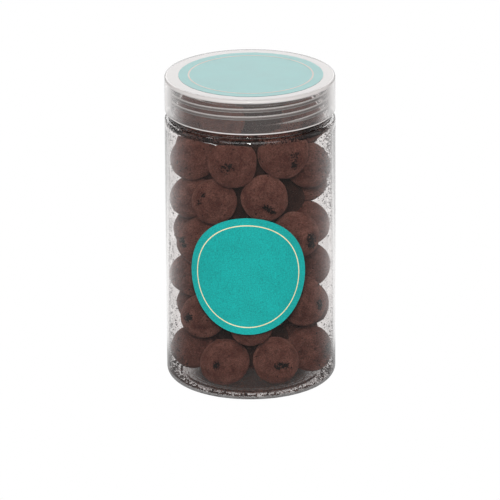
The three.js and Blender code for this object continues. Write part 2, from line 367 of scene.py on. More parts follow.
@dataclass(frozen=True)
class ClearPolyester:
    """Blow-moulded clear PET.

    Light goes through it with little loss and mirrors on both faces, and it looks milky where it is
    seen edge on. The mould and handling leave it a little smeared, and cocoa powder clings to its
    inside. Where that powder lies in the shoulder it is painted near black, as shade under the lid.
    """

    name: str = "blown_clear_pet"
    ior: float = 1.575  # of PET
    tint: str = "fcf9f8"
    shade: str = "fbfaf9"  # what a lamp's light keeps after one face
    polish: float = 0.015  # its roughness where it is clean
    smear: float = 0.035  # and where it is smeared
    smear_size: float = 14.0
    edge_from: float = 0.78  # it turns milky where 1 - cos of its angle to the eye passes this
    edge_haze: float = 0.8  # how milky it is where it is seen edge on
    powder: str = "6b483d"
    shaded_shoulder_powder: str = "1d100e"  # the powder's colour in the shoulder, near black: painted shade under the lid
    grain_size: float = 0.4  # powder is finer, and is drawn as coarse as it shows
    clump_size: float = 1.7
    clumping: float = 0.14  # how far the coarse noise shifts where powder lies

    def material(self) -> bpy.types.Material:
        """Builds the material.

        Returns:
            Glass-like plastic that lets lamps through, with dry powder where the sum of a fine
            noise, a coarse one and the mesh's "film" values passes 1. The powder turns near black
            where the mesh's shoulder values are high: painted shade.
        """
        material, tree, output = new_material(self.name)
        where = add_node(tree, "TexCoord").outputs["Object"]
        smears = add_node(
            tree, "TexNoise", {"Vector": where, "Scale": noise_scale(self.smear_size), "Detail": 3}
        )
        gloss = add_node(
            tree,
            "MapRange",
            {
                0: smears.outputs[0],
                "From Min": 0.45,
                "From Max": 0.75,
                "To Min": self.polish,
                "To Max": self.smear,
            },
        )
        edge_on = add_node(tree, "LayerWeight", {"Blend": 0.5}).outputs["Facing"]
        clear = add_node(
            tree,
            "MapRange",
            {0: edge_on, "From Min": self.edge_from, "To Min": 1.0, "To Max": 1 - self.edge_haze},
        )
        glass = add_node(
            tree,
            "BsdfPrincipled",
            {
                "Base Color": linear(self.tint),
                "Roughness": gloss.outputs[0],
                "IOR": self.ior,
                "Transmission Weight": clear.outputs[0],
            },
        )
        # powder in the shoulder is drawn near black: painted shade under the lid
        shoulder_shade = add_node(tree, "Attribute", attribute_name="shoulder_shade").outputs["Fac"]
        brown = add_node(
            tree,
            "Mix",
            {0: shoulder_shade, 6: linear(self.powder), 7: linear(self.shaded_shoulder_powder)},
            data_type="RGBA",
        )
        powder = add_node(
            tree,
            "BsdfPrincipled",
            {"Base Color": brown.outputs[2], "Roughness": 1.0, "Specular IOR Level": 0.2},
        )
        film = add_node(tree, "Attribute", attribute_name="film")
        grain = add_node(
            tree, "TexNoise", {"Vector": where, "Scale": noise_scale(self.grain_size), "Detail": 2}
        )
        clump = add_node(
            tree, "TexNoise", {"Vector": where, "Scale": noise_scale(self.clump_size), "Detail": 3}
        )
        clumps = add_node(
            tree,
            "MapRange",
            {0: clump.outputs[0], "To Min": -self.clumping, "To Max": self.clumping},
        )
        fine = add_node(
            tree, "Math", {0: grain.outputs[0], 1: film.outputs["Fac"]}, operation="ADD"
        )
        reach = add_node(tree, "Math", {0: fine.outputs[0], 1: clumps.outputs[0]}, operation="ADD")
        covered = add_node(
            tree, "MapRange", {0: reach.outputs[0], "From Min": 0.97, "From Max": 1.03}
        )
        dusted = add_node(
            tree, "MixShader", {0: covered.outputs[0], 1: glass.outputs[0], 2: powder.outputs[0]}
        )
        open_way = add_node(tree, "BsdfTransparent", {"Color": linear(self.shade)})
        lamp = add_node(tree, "LightPath").outputs["Is Shadow Ray"]
        mixed = add_node(tree, "MixShader", {0: lamp, 1: dusted.outputs[0], 2: open_way.outputs[0]})
        tree.links.new(mixed.outputs[0], output.inputs["Surface"])
        return material


@dataclass(frozen=True)
class HazyPlastic:
    """Moulded plastic that is clear where it is thin and milky where it is thick or seen edge on:
    there it scatters light back instead of letting it through."""

    name: str
    ior: float
    milk: str  # what it looks like where it is milky
    corner: str  # a lighter colour where "corner" is 1: painted light on a rounded corner, a painted highlight on a thread's flanks
    painted_edge_shade: str = "545050"  # a darker colour: painted shade where its edge turns away from the eye and the lamps
    tint: str = "f4f1f0"  # its colour where it is clear
    shade: str = "faf9f8"  # what a lamp's light keeps after one face
    polish: float = 0.03  # its roughness where it is clean
    smear: float = 0.066  # and where it is smeared
    smear_size: float = 9.0
    haze: float = 0.03  # how milky it is where it is clear and faces the eye
    edge_haze: float = 0.0  # how much more so where it is seen edge on
    edge_from: float = 0.4  # that starts where 1 - cos of its angle to the eye passes this
    edge_to: float = 0.85  # and is full from here
    rim_haze: float = 0.93  # how milky it is where "milk" is 1

    def material(self) -> bpy.types.Material:
        """Builds the material.

        Returns:
            Plastic that goes from clear to milky with the mesh's "milk" values, from the milky
            colour to a lighter one, painted light, with its "corner" values, and to a darker one,
            painted shade, with its edge-shade values.
        """
        material, tree, output = new_material(self.name)
        where = add_node(tree, "TexCoord").outputs["Object"]
        milk = add_node(tree, "Attribute", attribute_name="milk").outputs["Fac"]
        corner = add_node(tree, "Attribute", attribute_name="corner").outputs["Fac"]
        edge_on = add_node(tree, "LayerWeight", {"Blend": 0.5}).outputs["Facing"]
        thin = add_node(
            tree,
            "MapRange",
            {
                0: edge_on,
                "From Min": self.edge_from,
                "From Max": self.edge_to,
                "To Min": 1 - self.haze,
                "To Max": 1 - self.haze - self.edge_haze,
            },
        )
        clear = add_node(
            tree, "MapRange", {0: milk, "To Min": thin.outputs[0], "To Max": 1 - self.rim_haze}
        )
        smears = add_node(
            tree, "TexNoise", {"Vector": where, "Scale": noise_scale(self.smear_size), "Detail": 3}
        )
        gloss = add_node(
            tree,
            "MapRange",
            {
                0: smears.outputs[0],
                "From Min": 0.4,
                "From Max": 0.75,
                "To Min": self.polish,
                "To Max": self.smear,
            },
        )
        # the corner colour is painted light: a lighter rounded corner, or a thread's flanks
        # whitened as highlight
        milky = add_node(
            tree, "Mix", {0: corner, 6: linear(self.milk), 7: linear(self.corner)}, data_type="RGBA"
        )
        # a darker colour painted on the top's edge at the sides and back: painted shade
        shaded_edge = add_node(tree, "Attribute", attribute_name="painted_edge_shade").outputs["Fac"]
        with_edge_shade = add_node(
            tree,
            "Mix",
            {0: shaded_edge, 6: milky.outputs[2], 7: linear(self.painted_edge_shade)},
            data_type="RGBA",
        )
        colour = add_node(
            tree, "Mix", {0: milk, 6: linear(self.tint), 7: with_edge_shade.outputs[2]}, data_type="RGBA"
        )
        plastic = add_node(
            tree,
            "BsdfPrincipled",
            {
                "Base Color": colour.outputs[2],
                "Roughness": gloss.outputs[0],
                "IOR": self.ior,
                "Transmission Weight": clear.outputs[0],
            },
        )
        open_way = add_node(tree, "BsdfTransparent", {"Color": linear(self.shade)})
        lamp = add_node(tree, "LightPath").outputs["Is Shadow Ray"]
        mixed = add_node(
            tree, "MixShader", {0: lamp, 1: plastic.outputs[0], 2: open_way.outputs[0]}
        )
        tree.links.new(mixed.outputs[0], output.inputs["Surface"])
        return material


@dataclass(frozen=True)
class CocoaDusted:
    """Dark chocolate tumbled in cocoa powder: a dry matte brown, mottled where the powder lies
    thin or thick, with bare cracked chocolate where it has been knocked off."""

    name: str = "tumbled_cocoa_powder"
    thin: str = "693e36"
    thick: str = "96675b"
    speckle: str = "331b17"
    bare: str = "060201"
    bare_edge: str = "26120f"
    mottle_size: float = 4.5
    grain_size: float = 0.5  # the powder's grains are finer, and are drawn as coarse as they show
    speckle_size: float = 1.0
    crack_size: float = 0.7
    crack_gain: float = 4.6
    crack_shift: float = -1.3
    unlike: float = 0.35  # how far one sweet's powder can be thinner than the next one's

    def material(self) -> bpy.types.Material:
        """Builds the material.

        Returns:
            Matte cocoa, bare where the product of the mesh's "bare" value and gain n + shift passes
            1, n being a noise of the cracks' size.
        """
        material, tree, output = new_material(self.name)
        where = add_node(tree, "TexCoord").outputs["Object"]
        mottle = add_node(
            tree, "TexNoise", {"Vector": where, "Scale": noise_scale(self.mottle_size), "Detail": 4}
        )
        cover = add_node(
            tree, "MapRange", {0: mottle.outputs[0], "From Min": 0.33, "From Max": 0.67}
        )
        powder = add_node(
            tree,
            "Mix",
            {0: cover.outputs[0], 6: linear(self.thin), 7: linear(self.thick)},
            data_type="RGBA",
        )
        tint = add_node(tree, "Attribute", attribute_name="tint").outputs["Fac"]
        darker = add_node(tree, "Math", {0: tint, 1: self.unlike}, operation="MULTIPLY")
        own = add_node(
            tree,
            "Mix",
            {0: darker.outputs[0], 6: powder.outputs[2], 7: linear(self.thin)},
            data_type="RGBA",
        )
        dots = add_node(
            tree,
            "TexNoise",
            {"Vector": where, "Scale": noise_scale(self.speckle_size), "Detail": 2},
        )
        dotted = add_node(
            tree,
            "MapRange",
            {0: dots.outputs[0], "From Min": 0.58, "From Max": 0.68, "To Max": 0.55},
        )
        speckled = add_node(
            tree,
            "Mix",
            {0: dotted.outputs[0], 6: own.outputs[2], 7: linear(self.speckle)},
            data_type="RGBA",
        )
        grain = add_node(
            tree, "TexNoise", {"Vector": where, "Scale": noise_scale(self.grain_size), "Detail": 3}
        )
        light = add_node(
            tree,
            "MapRange",
            {
                0: grain.outputs[0],
                "From Min": 0.32,
                "From Max": 0.68,
                "To Min": 0.55,
                "To Max": 1.45,
            },
        )
        grained = add_node(
            tree,
            "Mix",
            {0: 1.0, 6: speckled.outputs[2], 7: light.outputs[0]},
            data_type="RGBA",
            blend_type="MULTIPLY",
        )
        wanted = add_node(tree, "Attribute", attribute_name="bare").outputs["Fac"]
        cracks = add_node(
            tree, "TexNoise", {"Vector": where, "Scale": noise_scale(self.crack_size), "Detail": 3}
        )
        ragged = add_node(
            tree,
            "Math",
            {0: cracks.outputs[0], 1: self.crack_gain, 2: self.crack_shift},
            operation="MULTIPLY_ADD",
        )
        reach = add_node(tree, "Math", {0: wanted, 1: ragged.outputs[0]}, operation="MULTIPLY")
        rim = add_node(
            tree,
            "MapRange",
            {0: reach.outputs[0], "From Min": 0.55, "From Max": 1.0, "To Max": 0.75},
        )
        worn = add_node(
            tree,
            "Mix",
            {0: rim.outputs[0], 6: grained.outputs[2], 7: linear(self.bare_edge)},
            data_type="RGBA",
        )
        open_spot = add_node(
            tree, "MapRange", {0: reach.outputs[0], "From Min": 1.0, "From Max": 1.08}
        )
        colour = add_node(
            tree,
            "Mix",
            {0: open_spot.outputs[0], 6: worn.outputs[2], 7: linear(self.bare)},
            data_type="RGBA",
        )
        rough = add_node(tree, "MapRange", {0: open_spot.outputs[0], "To Min": 0.96, "To Max": 0.6})
        height = add_node(
            tree, "Math", {0: grain.outputs[0], 1: open_spot.outputs[0]}, operation="SUBTRACT"
        )
        relief = add_node(
            tree, "Bump", {"Height": height.outputs[0], "Distance": 0.2 * METRE, "Strength": 1.0}
        )
        body = add_node(
            tree,
            "BsdfPrincipled",
            {
                "Base Color": colour.outputs[2],
                "Roughness": rough.outputs[0],
                "Diffuse Roughness": 1.0,
                "Specular IOR Level": 0.12,
                "Sheen Weight": 0.1,
                "Sheen Roughness": 0.5,
                "Sheen Tint": linear("c9a595"),
                "Normal": relief.outputs[0],
            },
        )
        tree.links.new(body.outputs[0], output.inputs["Surface"])
        return material


@dataclass(frozen=True)
class LooseCocoa:
    """Cocoa powder and chocolate crumbs that have come off: dry, dark and uneven."""

    name: str = "loose_cocoa"
    dark: str = "241411"
    pale: str = "5e4137"
    size: float = 1.6

    def material(self) -> bpy.types.Material:
        """Builds the material.

        Returns:
            A dry brown that changes from crumb to crumb.
        """
        material, tree, output = new_material(self.name)
        where = add_node(tree, "TexCoord").outputs["Object"]
        patch = add_node(
            tree, "TexNoise", {"Vector": where, "Scale": noise_scale(self.size), "Detail": 2}
        )
        share = add_node(tree, "MapRange", {0: patch.outputs[0], "From Min": 0.4, "From Max": 0.62})
        colour = add_node(
            tree,
            "Mix",
            {0: share.outputs[0], 6: linear(self.dark), 7: linear(self.pale)},
            data_type="RGBA",
        )
        body = add_node(
            tree,
            "BsdfPrincipled",
            {"Base Color": colour.outputs[2], "Roughness": 0.95, "Specular IOR Level": 0.2},
        )
        tree.links.new(body.outputs[0], output.inputs["Surface"])
        return material


@dataclass(frozen=True)
class PrintedPaper:
    """Self-adhesive paper printed in one colour and lacquered: even, finely grained, satin."""

    name: str
    colour: str
    lighter: str
    roughness: float = 0.42
    gleam: float = 0.5  # the specular level, which says how much the lacquer mirrors
    fibre: float = 0.45
    grain: float = 0.06  # how far the print strays from its colour, grain by grain
    relief: float = 0.5
    cloud: float = 9.0

    def material(self) -> bpy.types.Material:
        """Builds the material.

        Returns:
            Satin print with a fine grain.
        """
        material, tree, output = new_material(self.name)
        where = add_node(tree, "TexCoord").outputs["Object"]
        cloud = add_node(
            tree, "TexNoise", {"Vector": where, "Scale": noise_scale(self.cloud), "Detail": 2}
        )
        drift = add_node(tree, "MapRange", {0: cloud.outputs[0], "From Min": 0.3, "From Max": 0.7})
        base = add_node(
            tree,
            "Mix",
            {0: drift.outputs[0], 6: linear(self.colour), 7: linear(self.lighter)},
            data_type="RGBA",
        )
        fibre = add_node(
            tree, "TexNoise", {"Vector": where, "Scale": noise_scale(self.fibre), "Detail": 3}
        )
        light = add_node(
            tree,
            "MapRange",
            {
                0: fibre.outputs[0],
                "From Min": 0.3,
                "From Max": 0.7,
                "To Min": 1 - self.grain,
                "To Max": 1 + self.grain,
            },
        )
        colour = add_node(
            tree,
            "Mix",
            {0: 1.0, 6: base.outputs[2], 7: light.outputs[0]},
            data_type="RGBA",
            blend_type="MULTIPLY",
        )
        links = {"Height": fibre.outputs[0], "Distance": 0.012 * METRE, "Strength": self.relief}
        relief = add_node(tree, "Bump", links)
        body = add_node(
            tree,
            "BsdfPrincipled",
            {
                "Base Color": colour.outputs[2],
                "Roughness": self.roughness,
                "Specular IOR Level": self.gleam,
                "Normal": relief.outputs[0],
            },
        )
        tree.links.new(body.outputs[0], output.inputs["Surface"])
        return material


# ---- Jar ----------------------------------------------------------------------------------------


@dataclass
class ThreadBead:
    """A screw thread: a bead with a flat back that climbs round the outside of a wall."""

    name: str
    wall: float  # radius of the wall that it lies on
    start: float  # height at the front where it begins
    pitch: float
    turns: float
    depth: float  # how far it stands off the wall
    half_height: float
    gap: float = 0.01
    fade: float = 0.16  # the share of a turn in which an end runs out
    blunt: float = 0.004  # the share of a turn that is cut off each end, so that it keeps some size
    clear_below: float = 0.2  # an end is clear where it has less than this share of the full size
    highlight_from: float = 0.45  # a painted highlight whitens its flanks where |sin a| passes this
    highlight_full: float = 0.65  # and they are at their whitest from here
    steps_per_turn: int = 160
    section: int = 28

    def build(self, material: bpy.types.Material, slot: str, node: str) -> bpy.types.Object:
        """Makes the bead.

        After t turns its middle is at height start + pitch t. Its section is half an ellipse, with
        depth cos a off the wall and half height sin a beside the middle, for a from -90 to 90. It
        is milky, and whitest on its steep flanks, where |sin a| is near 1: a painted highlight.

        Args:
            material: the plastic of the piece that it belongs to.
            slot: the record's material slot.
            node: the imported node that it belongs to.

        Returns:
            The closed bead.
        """
        steps = round(self.turns * self.steps_per_turn)
        along = np.linspace(0, self.turns, steps)[:, None]
        size = smooth(-self.blunt, self.fade, along)
        size = size * smooth(-self.blunt, self.fade, self.turns - along)
        angle = np.radians(np.linspace(-90, 90, self.section + 1))[None]
        off = self.gap + self.depth * size * np.cos(angle)
        height = self.start + self.pitch * along + self.half_height * size * np.sin(angle)
        points = around(self.wall + off, 360 * along, height).reshape(-1, 3)
        end = np.arange(self.section + 1)[None]
        faces = [
            ring_quads(steps, self.section + 1),
            end[:, ::-1],
            end + (steps - 1) * (self.section + 1),
        ]
        piece = make_object(self.name, points, faces, crease=50)
        milk = smooth(self.clear_below, 1.0, size) * np.ones_like(angle)
        # the steep flanks are painted whiter: a painted highlight
        painted_highlight = smooth(self.highlight_from, self.highlight_full, np.abs(np.sin(angle))) * np.ones_like(size)
        paint_values(piece, "milk", milk)
        paint_values(piece, "corner", painted_highlight)
        settle(piece, material, slot, node)
        return piece


@dataclass
class Jar:
    """The blown jar: heel and pushed-up base, straight wall, shoulder, transfer ring and neck with
    a right-handed thread. Its two skins are one closed mesh."""

    radius: float = 35.0
    wall: float = 1.0
    heel: float = 3.7
    rest_inner: float = 29.6
    push_up_radius: float = 27.4
    push_up_edge: float = 1.3
    push_up_centre: float = 1.5
    gate_radius: float = 2.2  # of the dimple in the middle of the base
    gate_depth: float = 0.35
    ridge_radii: tuple[float, ...] = (20.0, 22.4, 24.8)
    ridge_height: float = 0.09
    ridge_width: float = 0.5
    shoulder_start: float = 111.0
    shoulder_round: float = 1.8
    shoulder_top: float = 33.0
    ring_radius: float = 34.0
    ring_low: float = 113.5
    ring_high: float = 114.4
    neck: float = 32.4
    neck_wall: float = 1.2
    mouth: float = 128.3
    lip: float = 0.4  # rounding of the mouth's outer edge
    small_round: float = 0.3  # rounding of the mouth's inner edge and of the transfer ring
    throat_low: float = 112.6
    thread_start: float = 118.6
    thread_pitch: float = 3.2
    thread_turns: float = 2.4
    thread_depth: float = 0.6
    thread_half_height: float = 0.85
    base_steps: int = 75
    wall_rows: int = 50
    sides: int = 256

    @property
    def inner(self) -> float:
        """Radius of the inside of the straight wall."""
        return self.radius - self.wall

    @property
    def throat(self) -> float:
        """Radius of the inside of the neck."""
        return self.neck - self.neck_wall

    def base_line(self, lift: float) -> np.ndarray:
        """The pushed-up base from the axis to the resting ring, lifted by the wall or not.

        Args:
            lift: 0 for the underside and the wall's thickness for the inside.

        Returns:
            (n, 2) profile points. Low rings hang from it, each the shape of one cosine hump.
        """
        distance = np.linspace(0, self.push_up_radius, self.base_steps + 1)
        share = distance / self.push_up_radius
        height = self.push_up_centre + (self.push_up_edge - self.push_up_centre) * share**2
        for ridge in self.ridge_radii:
            off = np.clip(np.abs(distance - ridge) / self.ridge_width, 0, 1)
            height -= self.ridge_height * 0.5 * (1 + np.cos(math.pi * off))
        height -= self.gate_depth * (1 - smooth(self.gate_radius * 0.6, self.gate_radius, distance))
        fall = np.linspace(0, 1, 8)[1:]
        slope = self.push_up_radius + (self.rest_inner + 0.3 * lift - self.push_up_radius) * fall
        drop = self.push_up_edge * (1 - smooth(0, 1, fall))
        return np.vstack(
            [np.stack([distance, height + lift], 1), np.stack([slope, drop + lift], 1)]
        )

    def wall_line(self) -> np.ndarray:
        """The inside of the straight wall from above, in enough rows for the powder's values."""
        height = np.linspace(self.shoulder_start - 3, self.heel + 1, self.wall_rows)
        return np.stack([np.full(self.wall_rows, self.inner), height], 1)

    def profile(self) -> np.ndarray:
        """The closed outline: underside, outside, mouth, inside and inner floor."""
        round_by, small, lip = self.shoulder_round, self.small_round, self.lip
        top = self.shoulder_start + round_by
        outside = [
            self.base_line(0),
            arc(self.radius - self.heel, self.heel, self.heel, -90, 0, 20),
            arc(self.radius - round_by, self.shoulder_start, round_by, 0, 78, 14),
            [[self.shoulder_top + 0.05, top], [self.shoulder_top - 0.1, top + 0.25]],
            arc(self.ring_radius - small, self.ring_low + small, small, -80, 0, 6),
            arc(self.ring_radius - small, self.ring_high - small, small, 0, 80, 6),
            [[self.neck + small, self.ring_high + 0.1], [self.neck, self.ring_high + 0.4]],
            arc(self.neck - lip, self.mouth - lip, lip, 0, 90, 6),
        ]
        inside = [
            arc(self.throat + small, self.mouth - small, small, 90, 180, 5),
            [[self.throat, self.throat_low]],
            arc(self.inner - round_by, self.shoulder_start - self.wall, round_by, 75, 0, 12),
            self.wall_line(),
            arc(self.radius - self.heel, self.heel, self.heel - self.wall, 0, -90, 16),
            self.base_line(self.wall)[::-1],
        ]
        return np.vstack([np.asarray(part, float) for part in outside + inside])

    def build(self, material: bpy.types.Material, dust: "LooseDust") -> bpy.types.Object:
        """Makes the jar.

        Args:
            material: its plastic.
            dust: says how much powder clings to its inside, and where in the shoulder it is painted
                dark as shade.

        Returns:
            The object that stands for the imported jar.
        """
        profile = self.profile()
        piece = turned("jar_shell", profile, self.sides)
        mouth = int(np.argmax(profile[:, 1]))
        inside = np.arange(1, len(profile) - 1) > mouth + 1
        azimuth = np.arange(self.sides) * 360 / self.sides
        azimuth = np.where(azimuth > 180, azimuth - 360, azimuth)
        share = dust.thickness(azimuth[None], profile[1:-1, 1:], profile[1:-1, :1])
        film = np.where(inside[:, None], dust.threshold(share), -1.0).ravel()
        floor = dust.threshold(dust.thickness(np.zeros(1), profile[-1:, 1], profile[-1:, 0]))
        paint_values(piece, "film", np.concatenate([[-1.0], film, floor]))
        # shoulder values: where the powder is painted near black as shade
        shoulder_shade = np.repeat(dust.in_shoulder_shade(profile[1:-1, 1]), self.sides)
        paint_values(piece, "shoulder_shade", np.concatenate([[0.0], shoulder_shade, [0.0]]))
        settle(piece, material, "clear_plastic", "jar_body")
        return piece

    def thread(self, material: bpy.types.Material) -> bpy.types.Object:
        """Makes the thread that climbs round the neck to the right."""
        bead = ThreadBead(
            "jar_thread",
            wall=self.neck,
            start=self.thread_start,
            pitch=self.thread_pitch,
            turns=self.thread_turns,
            depth=self.thread_depth,
            half_height=self.thread_half_height,
        )
        return bead.build(material, "clear_plastic", "jar_body")


# ---- Lid ----------------------------------------------------------------------------------------


@dataclass
class ScrewLid:
    """The moulded lid: flat top with a rounded edge, plain skirt, and a ring that plugs the mouth.

    It is milky all over the top and down its rounded edge, and along the foot of the skirt, and
    its rounded edge and foot are painted lighter, as light. A darker line of painted shade runs
    round the sides and back of the top, where its edge turns away from the eye and the lamps in
    front.
    """

    radius: float = 34.9
    bottom: float = 115.25
    top: float = 130.0
    skirt: float = 1.2
    plate: float = 1.4
    edge: float = 1.0
    chamfer: float = 0.3
    seal_radius: float = 30.6
    seal_wall: float = 0.9
    seal_depth: float = 2.6
    milky_from: float = 128.4  # height on the skirt where the milky edge starts
    milky_to: float = 128.65
    foot_height: float = 0.45  # how far up the skirt its milky foot reaches
    edge_shade_inset: float = 0.8  # how far the painted shade reaches in and down at the sides
    edge_shade_width: float = 1.3  # how much further in it reaches at the back
    edge_shade_fade: float = 0.4
    top_rows: int = 8  # rows of points on the top, a step apart, for the line's values
    top_step: float = 0.2
    sides: int = 256

    def profile(self) -> np.ndarray:
        """The closed outline, from the middle of the underside outwards and back over the top."""
        underside = self.top - self.plate
        inside = self.radius - self.skirt
        seal_inside = self.seal_radius - self.seal_wall
        rim = self.chamfer
        flat = self.radius - self.edge
        parts = [
            [[0, underside], [seal_inside - 0.2, underside], [seal_inside, underside - 0.2]],
            arc(seal_inside + rim, underside - self.seal_depth + rim, rim, 180, 270, 4),
            arc(self.seal_radius - 2 * rim, underside - self.seal_depth + rim, rim, 270, 340, 4),
            [[self.seal_radius, underside - 0.2], [self.seal_radius + 0.2, underside]],
            arc(inside - rim, underside - rim, rim, 90, 10, 4),
            [[inside, self.milky_from - 0.02]],
            arc(inside + rim, self.bottom + rim, rim, 180, 270, 5),
            arc(self.radius - rim, self.bottom + rim, rim, 270, 360, 5),
            [[self.radius, self.bottom + self.foot_height]],
            [[self.radius, self.bottom + 1.6 * self.foot_height]],
            [
                [self.radius, self.milky_from],
                [self.radius, 0.5 * (self.milky_from + self.milky_to)],
            ],
            arc(flat, self.top - self.edge, self.edge, 0, 90, 12),
            [[flat - self.top_step * row, self.top] for row in range(1, self.top_rows + 1)],
            [[0, self.top]],
        ]
        return np.vstack([np.asarray(part, float) for part in parts])

    def build(self, material: bpy.types.Material) -> bpy.types.Object:
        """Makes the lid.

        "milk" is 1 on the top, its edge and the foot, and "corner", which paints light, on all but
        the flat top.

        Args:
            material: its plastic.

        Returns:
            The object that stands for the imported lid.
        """
        profile = self.profile()
        piece = turned("screw_lid", profile, self.sides)
        distance, height = profile.T
        inside = self.radius - self.skirt
        top = smooth(self.milky_from, self.milky_to, height)
        top = top * smooth(inside - 0.5, inside + 0.4, distance)
        top = np.maximum(top, smooth(self.top - 0.9, self.top - 0.2, height))
        outer = smooth(self.radius - 0.7 * self.skirt, self.radius - 0.4 * self.skirt, distance)
        foot = outer * (1 - smooth(self.foot_height, 1.5 * self.foot_height, height - self.bottom))
        milk = np.maximum(top, foot)
        corner = 1 - smooth(self.top - 0.02, self.top - 0.001, height)
        for name, values in (("milk", milk), ("corner", corner)):
            rings = np.repeat(values[1:-1], self.sides)
            paint_values(piece, name, np.concatenate([values[:1], rings, values[-1:]]))
        # painted shade round the top, at the sides and back
        line = self.painted_edge_shade(profile[1:-1, :1], profile[1:-1, 1:])
        paint_values(piece, "painted_edge_shade", np.concatenate([[0.0], line.ravel(), [0.0]]))
        settle(piece, material, "milky_plastic", "lid")
        return piece

    def painted_edge_shade(self, distance: np.ndarray, height: np.ndarray) -> np.ndarray:
        """How dark the painted shade round the top is.

        It starts beside the front, at 62 to 82 degrees, and is at its widest and darkest at the
        back, from 140 degrees.

        Args:
            distance: (n, 1) distances of the profile's points from the axis.
            height: (n, 1) heights.

        Returns:
            (n, sides) values from 0 to 1.
        """
        azimuth = np.arange(self.sides) * 360 / self.sides
        away = np.minimum(azimuth, 360 - azimuth)[None]
        start = self.radius - self.edge_shade_inset - self.edge_shade_width * smooth(85, 140, away)
        across = smooth(0.0, self.edge_shade_fade, distance - start)
        strength = smooth(62, 82, away) * (0.45 + 0.55 * smooth(95, 140, away))
        return across * strength * (height > self.top - self.edge_shade_inset)


# ---- Labels -------------------------------------------------------------------------------------

Wrap = Callable[[np.ndarray, float], np.ndarray]


@dataclass
class RoundLabel:
    """A round sticker with a thin printed ring. How it lies on the object is a function that takes
    flat (sideways, up) points and a height above the surface."""

    name: str
    radius: float
    ring_inset: float
    ring_width: float
    paper: float
    wrap: Wrap
    rings: int = 22
    spokes: int = 192
    ink: float = 0.025  # how far the printed ring stands off the paper
    ink_base: float = 0.002  # and its underside

    def sheet(self, material: bpy.types.Material, slot: str, node: str) -> bpy.types.Object:
        """Makes the sticker.

        Args:
            material: its printed paper.
            slot: the record's material slot.
            node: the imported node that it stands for.

        Returns:
            The object: an outer face and an inner face of rings about a middle, joined by a rim.
        """
        flat = flat_disc(self.rings, self.spokes, self.radius)
        points = np.vstack([self.wrap(flat, self.paper), self.wrap(flat, 0.0)])
        size = len(flat)
        last = 1 + (self.rings - 1) * self.spokes
        outer = ring_quads(self.rings, self.spokes, first=1)[:, ::-1]
        side = np.arange(self.spokes)
        beside = (side + 1) % self.spokes
        rim = np.stack([last + side, size + last + side, size + last + beside, last + beside], 1)
        middle = fan(0, 1, self.spokes, upwards=True)
        faces = [outer, outer[:, ::-1] + size, rim, middle, middle[:, ::-1] + size]
        piece = make_object(self.name, points, faces)
        settle(piece, material, slot, node)
        return piece

    def printed_ring(self, material: bpy.types.Material, slot: str) -> bpy.types.Object:
        """Makes the thin ring as a flat band of ink on the paper.

        Args:
            material: its ink.
            slot: the record's material slot.

        Returns:
            The closed band, whose section is a flat box.
        """
        middle = self.radius - self.ring_inset
        spokes = 2 * self.spokes
        angle = np.arange(spokes) * 2 * math.pi / spokes
        half = self.ring_width / 2
        outer, inner = middle + half, middle - half
        rows = [
            (outer, self.ink_base), (outer, self.ink), (inner, self.ink), (inner, self.ink_base)
        ]
        rings = [
            self.wrap(
                np.stack([reach * np.cos(angle), reach * np.sin(angle)], 1), self.paper + above
            )
            for reach, above in rows
        ]
        faces = ring_quads(4, spokes, closed=True)
        piece = make_object(self.name + "_ring", np.vstack(rings), [faces], crease=60)
        settle(piece, material, slot)
        return piece


def wall_wrap(radius: float, azimuth: float, height: float) -> Wrap:
    """Lays flat points on an upright cylinder.

    Args:
        radius: radius of the cylinder where the sheet's inner face lies.
        azimuth: where the sheet's middle is, in degrees.
        height: height of its middle.

    Returns:
        A function: a point s sideways lies s / radius radians round the wall.
    """

    def wrap(flat: np.ndarray, above: float) -> np.ndarray:
        """Bends flat points and lifts them above the wall."""
        turn = azimuth + np.degrees(flat[:, 0] / radius)
        return around(np.full(len(flat), radius + above), turn, height + flat[:, 1])

    return wrap


def top_wrap(x: float, y: float, height: float) -> Wrap:
    """Lays flat points on a level surface, about (x, y) at that height."""

    def wrap(flat: np.ndarray, above: float) -> np.ndarray:
        """Moves flat points into place and lifts them."""
        return np.column_stack([flat[:, 0] + x, flat[:, 1] + y, np.full(len(flat), height + above)])

    return wrap


# ---- Camera geometry ----------------------------------------------------------------------------


@dataclass
class ViewPoint:
    """The camera that the jar's outline was fitted with: where it stands and how it is turned."""

    back: float = 1911.2
    height: float = 740.3
    pitch: float = 19.76
    yaw: float = -0.009
    roll: float = -0.305
    lens: float = 353.7
    sensor: float = 36.0
    nearest: float = 50.0
    farthest: float = 30000.0

    def axes(self) -> tuple[Vector, Vector, Vector]:
        """Right, up and backward directions of the camera."""
        pitch, yaw, roll = (math.radians(angle) for angle in (self.pitch, self.yaw, self.roll))
        ahead = Vector(
            (math.sin(yaw) * math.cos(pitch), math.cos(yaw) * math.cos(pitch), -math.sin(pitch))
        )
        level = ahead.cross(Vector((0, 0, 1))).normalized()
        upright = level.cross(ahead)
        right = math.cos(roll) * level + math.sin(roll) * upright
        up = -math.sin(roll) * level + math.cos(roll) * upright
        return right, up, -ahead

    def place(self) -> bpy.types.Object:
        """Makes the camera and gives it to the scene."""
        data = bpy.data.cameras.new("front_camera")
        data.lens = self.lens
        data.sensor_width = self.sensor
        data.clip_start, data.clip_end = self.nearest * METRE, self.farthest * METRE
        camera = bpy.data.objects.new("front_camera", data)
        right, up, back = self.axes()
        turn = Matrix((right, up, back)).transposed().to_4x4()
        camera.matrix_world = Matrix.Translation(
            Vector((0, -self.back, self.height)) * METRE
        ) @ turn
        bpy.context.scene.collection.objects.link(camera)
        bpy.context.scene.camera = camera
        return camera


# ---- Dragees ------------------------------------------------------------------------------------


@dataclass
class Row:
    """One row of sweets round the wall: the height of its sweets' middles, how many lie behind, and
    the (azimuth, height, radius) of those that show from the front, from left to right."""

    level: float
    behind: int
    shown: tuple[tuple[float, float, float], ...]


